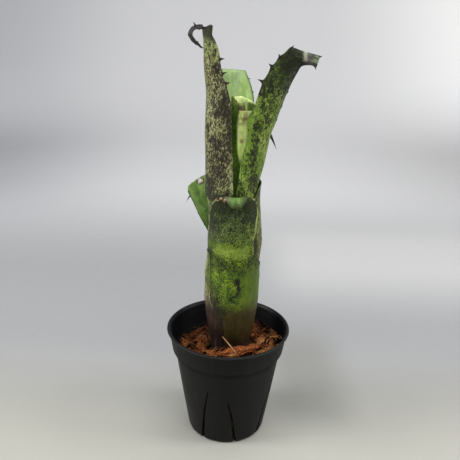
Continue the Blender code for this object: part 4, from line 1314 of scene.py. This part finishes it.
def in_the_light(points):
    """Husk is left bright in front of the trunk; painted shade makes it darker behind the trunk and against
    its foot.
    """
    from_trunk = np.hypot(points[:, 0] - TRUNK_FOOT[0], points[:, 1] - TRUNK_FOOT[1])
    return (1 - 0.5 * smooth(points[:, 1], 0, 22)) * (1 - 0.45 * smooth(from_trunk, 28, 21))


def shard(rng, length, width, height, rings, sides):
    """Vertices and faces of a husk splinter lying along x: a bent, fibrous, ragged-ended bar."""
    lean = rng.uniform(-0.25, 0.25)
    bow = rng.uniform(-0.10, 0.16) * length
    ridge = [rng.uniform(0.75, 1.2) for _ in range(sides)]
    ends = {s: [rng.uniform(-0.16, 0.16) for _ in range(sides)] for s in (0, rings - 1)}
    points = []
    for s in range(rings):
        t = s / (rings - 1)
        size = min(1, 0.14 + 2.3 * min(t, 1 - t)) * rng.uniform(0.94, 1.05)
        for i, ragged_end in enumerate(ends.get(s, [0] * sides)):
            across, up = math.cos(math.tau * i / sides), math.sin(math.tau * i / sides)
            reach = size * ridge[i] * rng.uniform(0.96, 1.04) * (0.75 + 0.25 / max(abs(across), abs(up)))
            x = (t - 0.5 + ragged_end * 0.7) * length
            y = across * width / 2 * reach + lean * width * (t - 0.5)
            z = up * height / 2 * reach + bow * 2 * t * (1 - t)
            points.append((x, y, z))
    return np.array(points), capped(rings, sides)


def settle(points, x, y, z, yaw, pitch, roll):
    """Turns a splinter, sets it down and draws it in where it would reach through the pot's wall."""
    turn = Matrix.Rotation(yaw, 3, "Z") @ Matrix.Rotation(pitch, 3, "Y") @ Matrix.Rotation(roll, 3, "X")
    return inside_pot(points @ np.array(turn).T + np.array([x, y, z]))


def inside_pot(points):
    limit = pot_inner_radius(points[:, 2]) - 0.5
    points[:, :2] *= np.minimum(1, limit / np.hypot(points[:, 0], points[:, 1]))[:, None]
    return points


def add_husk(name, slot, finish, vertices, faces, grain, shade, *nodes, crisp=True):
    """A piece of husk or bark whose shader reads the direction of its grain and its shade."""
    piece = new_mesh(name, vertices, faces)
    if crisp:
        piece.data.set_sharp_from_angle(angle=HUSK_CREASE)
    set_attribute(piece, "husk_grain", "FLOAT_VECTOR", grain)
    set_attribute(piece, "husk_shade", "FLOAT", shade)
    fix_in_place(piece, slot, finish, *nodes)


def add_chips(finish):
    for number, (azimuth, distance, length, width, height, yaw) in enumerate(CHIPS, 1):
        rng = random.Random(700 + number)
        points, faces = shard(rng, length * 1.06, width * 1.05, height * 1.1, 15, 14)
        grain = points + number * 13
        x, y, _ = direction(azimuth) * distance
        x += TRUNK_FOOT[0]
        lift = medium_height(x, y) + 1.3 + height / 2
        pitch, roll = math.radians(rng.uniform(-7, 7)), math.radians(rng.uniform(-14, 14))
        if number == 1:
            pitch, extra, roll = FRONT_CHIP_TILT
            lift += extra
        points = settle(points, x, y, lift, math.radians(yaw), pitch, roll)
        shade = rng.uniform(0.7, 1.3) * in_the_light(points)
        names = f"husk_shard_{number:02d}", f"husk_chip_{number:02d}"
        add_husk(names[0], "coconut_husk", finish, points, faces, grain, shade, names[1])


def small_chip(rng, number):
    azimuth = rng.uniform(0, 360)
    spread = rng.random()
    x, y, _ = direction(azimuth) * (25 + 23.5 * spread**0.8)
    x += TRUNK_FOOT[0] * (1 - spread)
    length = rng.uniform(8, 24)
    width = length * rng.uniform(0.16, 0.34)
    height = width * rng.uniform(0.3, 0.6)
    points, faces = shard(rng, length, width, height, 7, 8)
    grain = points + number * 7.7
    yaw = math.radians(azimuth) + rng.gauss(0, 0.7)
    pitch, roll = rng.uniform(-0.22, 0.22), rng.uniform(-0.7, 0.7)
    lift = float(medium_height(x, y)) + height * 0.45 + rng.uniform(-0.6, 2)
    points = settle(points, x, y, lift, yaw, pitch, roll)
    return points, faces, grain, rng.choice(SMALL_CHIP_SHADES) * in_the_light(points)


def fibre(rng, number):
    azimuth, distance = rng.uniform(0, 360), rng.uniform(22, 49)
    middle_x, middle_y, _ = direction(azimuth) * distance
    heading = math.radians(rng.uniform(0, 360))
    length, bend = rng.uniform(6, 22), rng.uniform(-0.6, 0.6)
    radius = rng.uniform(0.14, 0.32)
    line = []
    for t in np.linspace(-0.5, 0.5, FIBRE_STEPS):
        x = middle_x + 1 + math.cos(heading + bend * t) * length * t
        y = middle_y + math.sin(heading + bend * t) * length * t
        z = float(medium_height(x, y)) + 3 + rng.uniform(-0.5, 0.6) + 3 * t * rng.uniform(-1, 1)
        line.append((x, y, z))
    points, faces = tube(inside_pot(np.array(line)), radius, 5)
    return points, faces, points * 0.4 + number, rng.uniform(1, 2.4) * in_the_light(points)


def add_small_husk(finish):
    """Small splinters and loose fibres that fill the surface between the large chips."""
    rng = random.Random(81)
    groups = [small_chip(rng, number) for number in range(SMALL_CHIPS)]
    groups += [fibre(rng, number) for number in range(FIBRES)]
    add_husk("husk_litter", "coconut_husk", finish, *join(groups))


def tube(line, radius, sides):
    """A thin closed tube along a line of points, tapering at both ends."""
    heading = unit(np.gradient(line, axis=0))
    side = unit(np.cross(heading, np.array([0, 0, 1]) + 1e-6))[:, None]
    up = np.cross(side, heading[:, None])
    turn = (np.arange(sides) * math.tau / sides)[:, None]
    slim = np.full((len(line), 1, 1), radius)
    slim[[0, -1]] *= 0.45
    points = line[:, None] + side * np.cos(turn) * slim + up * np.sin(turn) * slim
    return points.reshape(-1, 3), capped(len(line), sides)


def add_medium(finish):
    """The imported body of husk: crumbly top, and a side that shows through the pot's slits."""
    turn = np.arange(MEDIUM_SEGMENTS) * math.tau / MEDIUM_SEGMENTS
    floor = POT_FLOOR + MEDIUM_CLEARANCE
    side = [(floor, POT_BASE_RADIUS - 2.5)]
    for height in np.linspace(5, 82, MEDIUM_SIDE_ROWS):
        side.append((height, pot_inner_radius(height) - MEDIUM_CLEARANCE))
    rows = [
        np.stack([radius * np.sin(turn), -radius * np.cos(turn), np.full(MEDIUM_SEGMENTS, height)], axis=1)
        for height, radius in side
    ]
    edge = pot_inner_radius(84) - MEDIUM_CLEARANCE - 0.4
    mouth = TRUNK_FOOT_RADIUS - 1
    for share in np.linspace(0, 1, MEDIUM_TOP_ROWS):
        radius = edge * (1 - share) + mouth * share
        x = TRUNK_FOOT[0] * share + radius * np.sin(turn)
        y = TRUNK_FOOT[1] * share - radius * np.cos(turn)
        drop = -2 * (1 - smooth(share, 0, 0.12))
        rows.append(np.stack([x, y, medium_height(x, y) + drop], axis=1))
    grid = np.array(rows)
    crumbs = fractal(grid, 4.2, 91) - 0.5
    inward = unit(grid * np.array([1, 1, 0]))[: len(side)]
    grid[: len(side)] -= inward * (np.abs(crumbs[: len(side)]) * 3)[..., None]
    grid[len(side) :, :, 2] += crumbs[len(side) :] * 4.6
    vertices = grid.reshape(-1, 3)
    # Painted shade: the bed is very dark, darkest in its hollows, standing for the shade in the gaps between
    # the chips
    shade = 0.04 + 0.2 * smooth(crumbs.ravel(), -0.05, 0.25)
    faces = capped(len(grid), MEDIUM_SEGMENTS)
    add_husk("husk_bed", "coconut_husk", finish, vertices, faces, vertices, shade, "growing_medium")


# Short stem inside the trunk, with a shoulder under its narrow neck: (radius, height)
STEM_OUTLINE = ((9, 60.4), (15.5, 65), (18, 74), (18, 84.4), (6.4, 84.6), (5.6, 100), (3, 115))
STEM_PLACE = (1.5, -0.5, 0)
STEM_SEGMENTS = 96


def add_stem(finish):
    """The short stem that bears the leaves, ringed with the scars of old leaf bases."""
    radii, heights = zip(*STEM_OUTLINE)
    z = np.concatenate([np.linspace(heights[0], heights[3], 60), np.linspace(heights[4], heights[-1], 40)])
    scars = 0.5 * np.abs(np.sin(z * 1.05)) ** 3
    points, faces = turned(np.stack([np.interp(z, heights, radii) - scars, z], axis=1), STEM_SEGMENTS)
    rough = 1 - 0.012 * fractal(points, (3, 3, 1.5), 97)[:, None] * np.array([1, 1, 0])
    points = points * rough + STEM_PLACE
    grain, shade = points * np.array([1.5, 1.5, 0.6]), np.full(len(points), 0.9)
    add_husk("short_stem", "leaf_pale", finish, points, faces, grain, shade, "stem", crisp=False)


# The straw's ends and the corner that its curve leans towards
STRAW_POINTS = ((-5.2, -23.4, 113), (1.1, -29.4, 109), (8.4, -38.2, 103.6))
STRAW_RADIUS = 0.5


def add_straw(finish):
    points, faces = tube(bent(*np.array(STRAW_POINTS), 15), STRAW_RADIUS, 8)
    grain, shade = points * np.array([2, 2, 0.3]), np.ones(len(points))
    add_husk("straw_stalk", "straw", finish, points, faces, grain, shade, "husk_straw", crisp=False)


# ---------------------------------------------------------------- stage, light and camera

CAMERA_PLACE = (-0.0007, -0.6061, 0.4552)
CAMERA_DOWN = 21.74
CAMERA_ROLL = 1.49
LENS = 54.8


def add_camera():
    data = bpy.data.cameras.new("camera")
    data.lens = LENS
    data.sensor_width = 36
    camera = add_object("camera", data)
    down, roll = math.radians(CAMERA_DOWN), math.radians(CAMERA_ROLL)
    turn = Matrix.Rotation(math.radians(90) - down, 4, "X") @ Matrix.Rotation(roll, 4, "Z")
    camera.matrix_world = Matrix.Translation(CAMERA_PLACE) @ turn
    bpy.context.scene.camera = camera


def add_area_light(name, place, target, size, power):
    data = bpy.data.lights.new(name, "AREA")
    data.shape = "RECTANGLE"
    data.size, data.size_y = size
    data.energy = power
    light = add_object(name, data)
    light.location = place
    light.rotation_mode = "QUATERNION"
    light.rotation_quaternion = (Vector(target) - Vector(place)).to_track_quat("-Z", "Y")


# The stage's floor is level up to this radius, and then curves up into a wall with the second radius
FLOOR_RADIUS = 1200
SWEEP_RADIUS = 1100
WALL_TOP = 3200
STAGE_SEGMENTS = 128


def add_stage():
    """A pale seamless bowl: a flat floor that curves up into a wall all around."""
    g = Graph("sweep_paper")
    place = g.object_place()
    x, y, _ = g.parts("SeparateXYZ", "Vector", place)
    # The paper's colour is painted light and shade: darker near the pot and the camera and towards the sides,
    # lightest far off to the right, with a painted shadow of the pot to its right and behind it
    pot_shadow_beside = (g.ramp(x, 0.03, 0.08) * g.ramp(x, 0.16, 0.1)) * (g.ramp(y, -0.03, 0.03) * g.ramp(y, 0.24, 0.12))
    lobe = (g.ramp(y, 0.2, 0.4) * g.ramp(y, 0.62, 0.48)) * g.ramp(x, 0, 0.12)
    middle = g.ramp(y, 0.35, 0.8)
    far = g.ramp(y, 1, 1.6)
    colour = g.tint(g.ramp(y, -0.05, 0.18), srgb(178, 177, 169), 157, 158, 160)
    colour = g.tint(pot_shadow_beside * 0.7, colour, 136, 137, 131)
    colour = g.tint(middle, colour, 205, 205, 207)
    colour = g.tint(lobe, colour, 190, 190, 190)
    colour = g.tint(middle * g.ramp(x, -0.12, -0.62), colour, 159, 160, 165)
    colour = g.tint(middle * g.ramp(x, 0.1, 0.8), colour, 165, 165, 165)
    colour = g.tint(far, colour, 212, 212, 214)
    colour = g.tint(far * g.ramp(x, -0.25, -0.8), colour, 183, 184, 189)
    colour = g.tint(far * g.ramp(x, 0.25, 0.9), colour, 250, 250, 249)
    material = g.finish(colour, g.ramp(g.noise(place, 60), 0.3, 0.7, 0.6, 0.7), None, 0.3)
    curve = np.linspace(0, math.pi / 2, 25)
    outline = [(400, 0)]
    outline += [(FLOOR_RADIUS + SWEEP_RADIUS * math.sin(a), SWEEP_RADIUS * (1 - math.cos(a))) for a in curve]
    outline.append((FLOOR_RADIUS + SWEEP_RADIUS, WALL_TOP))
    vertices, faces = turned(outline, STAGE_SEGMENTS)
    sweep = new_mesh("sweep", vertices, [face[::-1] for face in faces[:-1]])
    sweep.data.materials.append(material)


def add_light():
    world = bpy.data.worlds.new("studio")
    bpy.context.scene.world = world
    world.use_nodes = True
    background = world.node_tree.nodes["Background"]
    background.inputs["Color"].default_value = (0.93, 0.96, 1, 1)
    background.inputs["Strength"].default_value = 0.21
    add_area_light("soft_top", (0, -0.6, 1.9), (0, 0, 0.2), (1.5, 1.2), 23)
    add_area_light("soft_left", (-1.5, -0.3, 0.95), (0, 0, 0.22), (0.6, 0.8), 19)
    add_area_light("soft_right", (1.5, -0.2, 1.1), (0, 0, 0.22), (0.6, 0.8), 16)
    add_area_light("sweep_glow", (0.5, 0.9, 1.7), (0.3, 2, 0.1), (1.6, 0.8), 7.4)


def main():
    bpy.context.scene.view_settings.view_transform = "Standard"
    add_camera()
    add_stage()
    add_light()

    add_pot(black_plastic())
    brown = husk("husk_brown", (40, 20, 11), (168, 90, 43), (230, 172, 108))
    add_medium(brown)
    add_chips(brown)
    add_small_husk(brown)
    add_straw(husk("straw_dry", (150, 112, 72), (196, 156, 108), (222, 190, 146)))
    add_stem(husk("stem_bark", (70, 62, 32), (128, 132, 70), (176, 178, 116)))

    add_basal_sheath()
    add_front_stub()
    add_right_stub()
    add_left_stub()
    add_left_leaf()
    add_right_leaf()
    add_back_leaf()
    add_inner_leaf()
    add_rolled_leaf()


main()
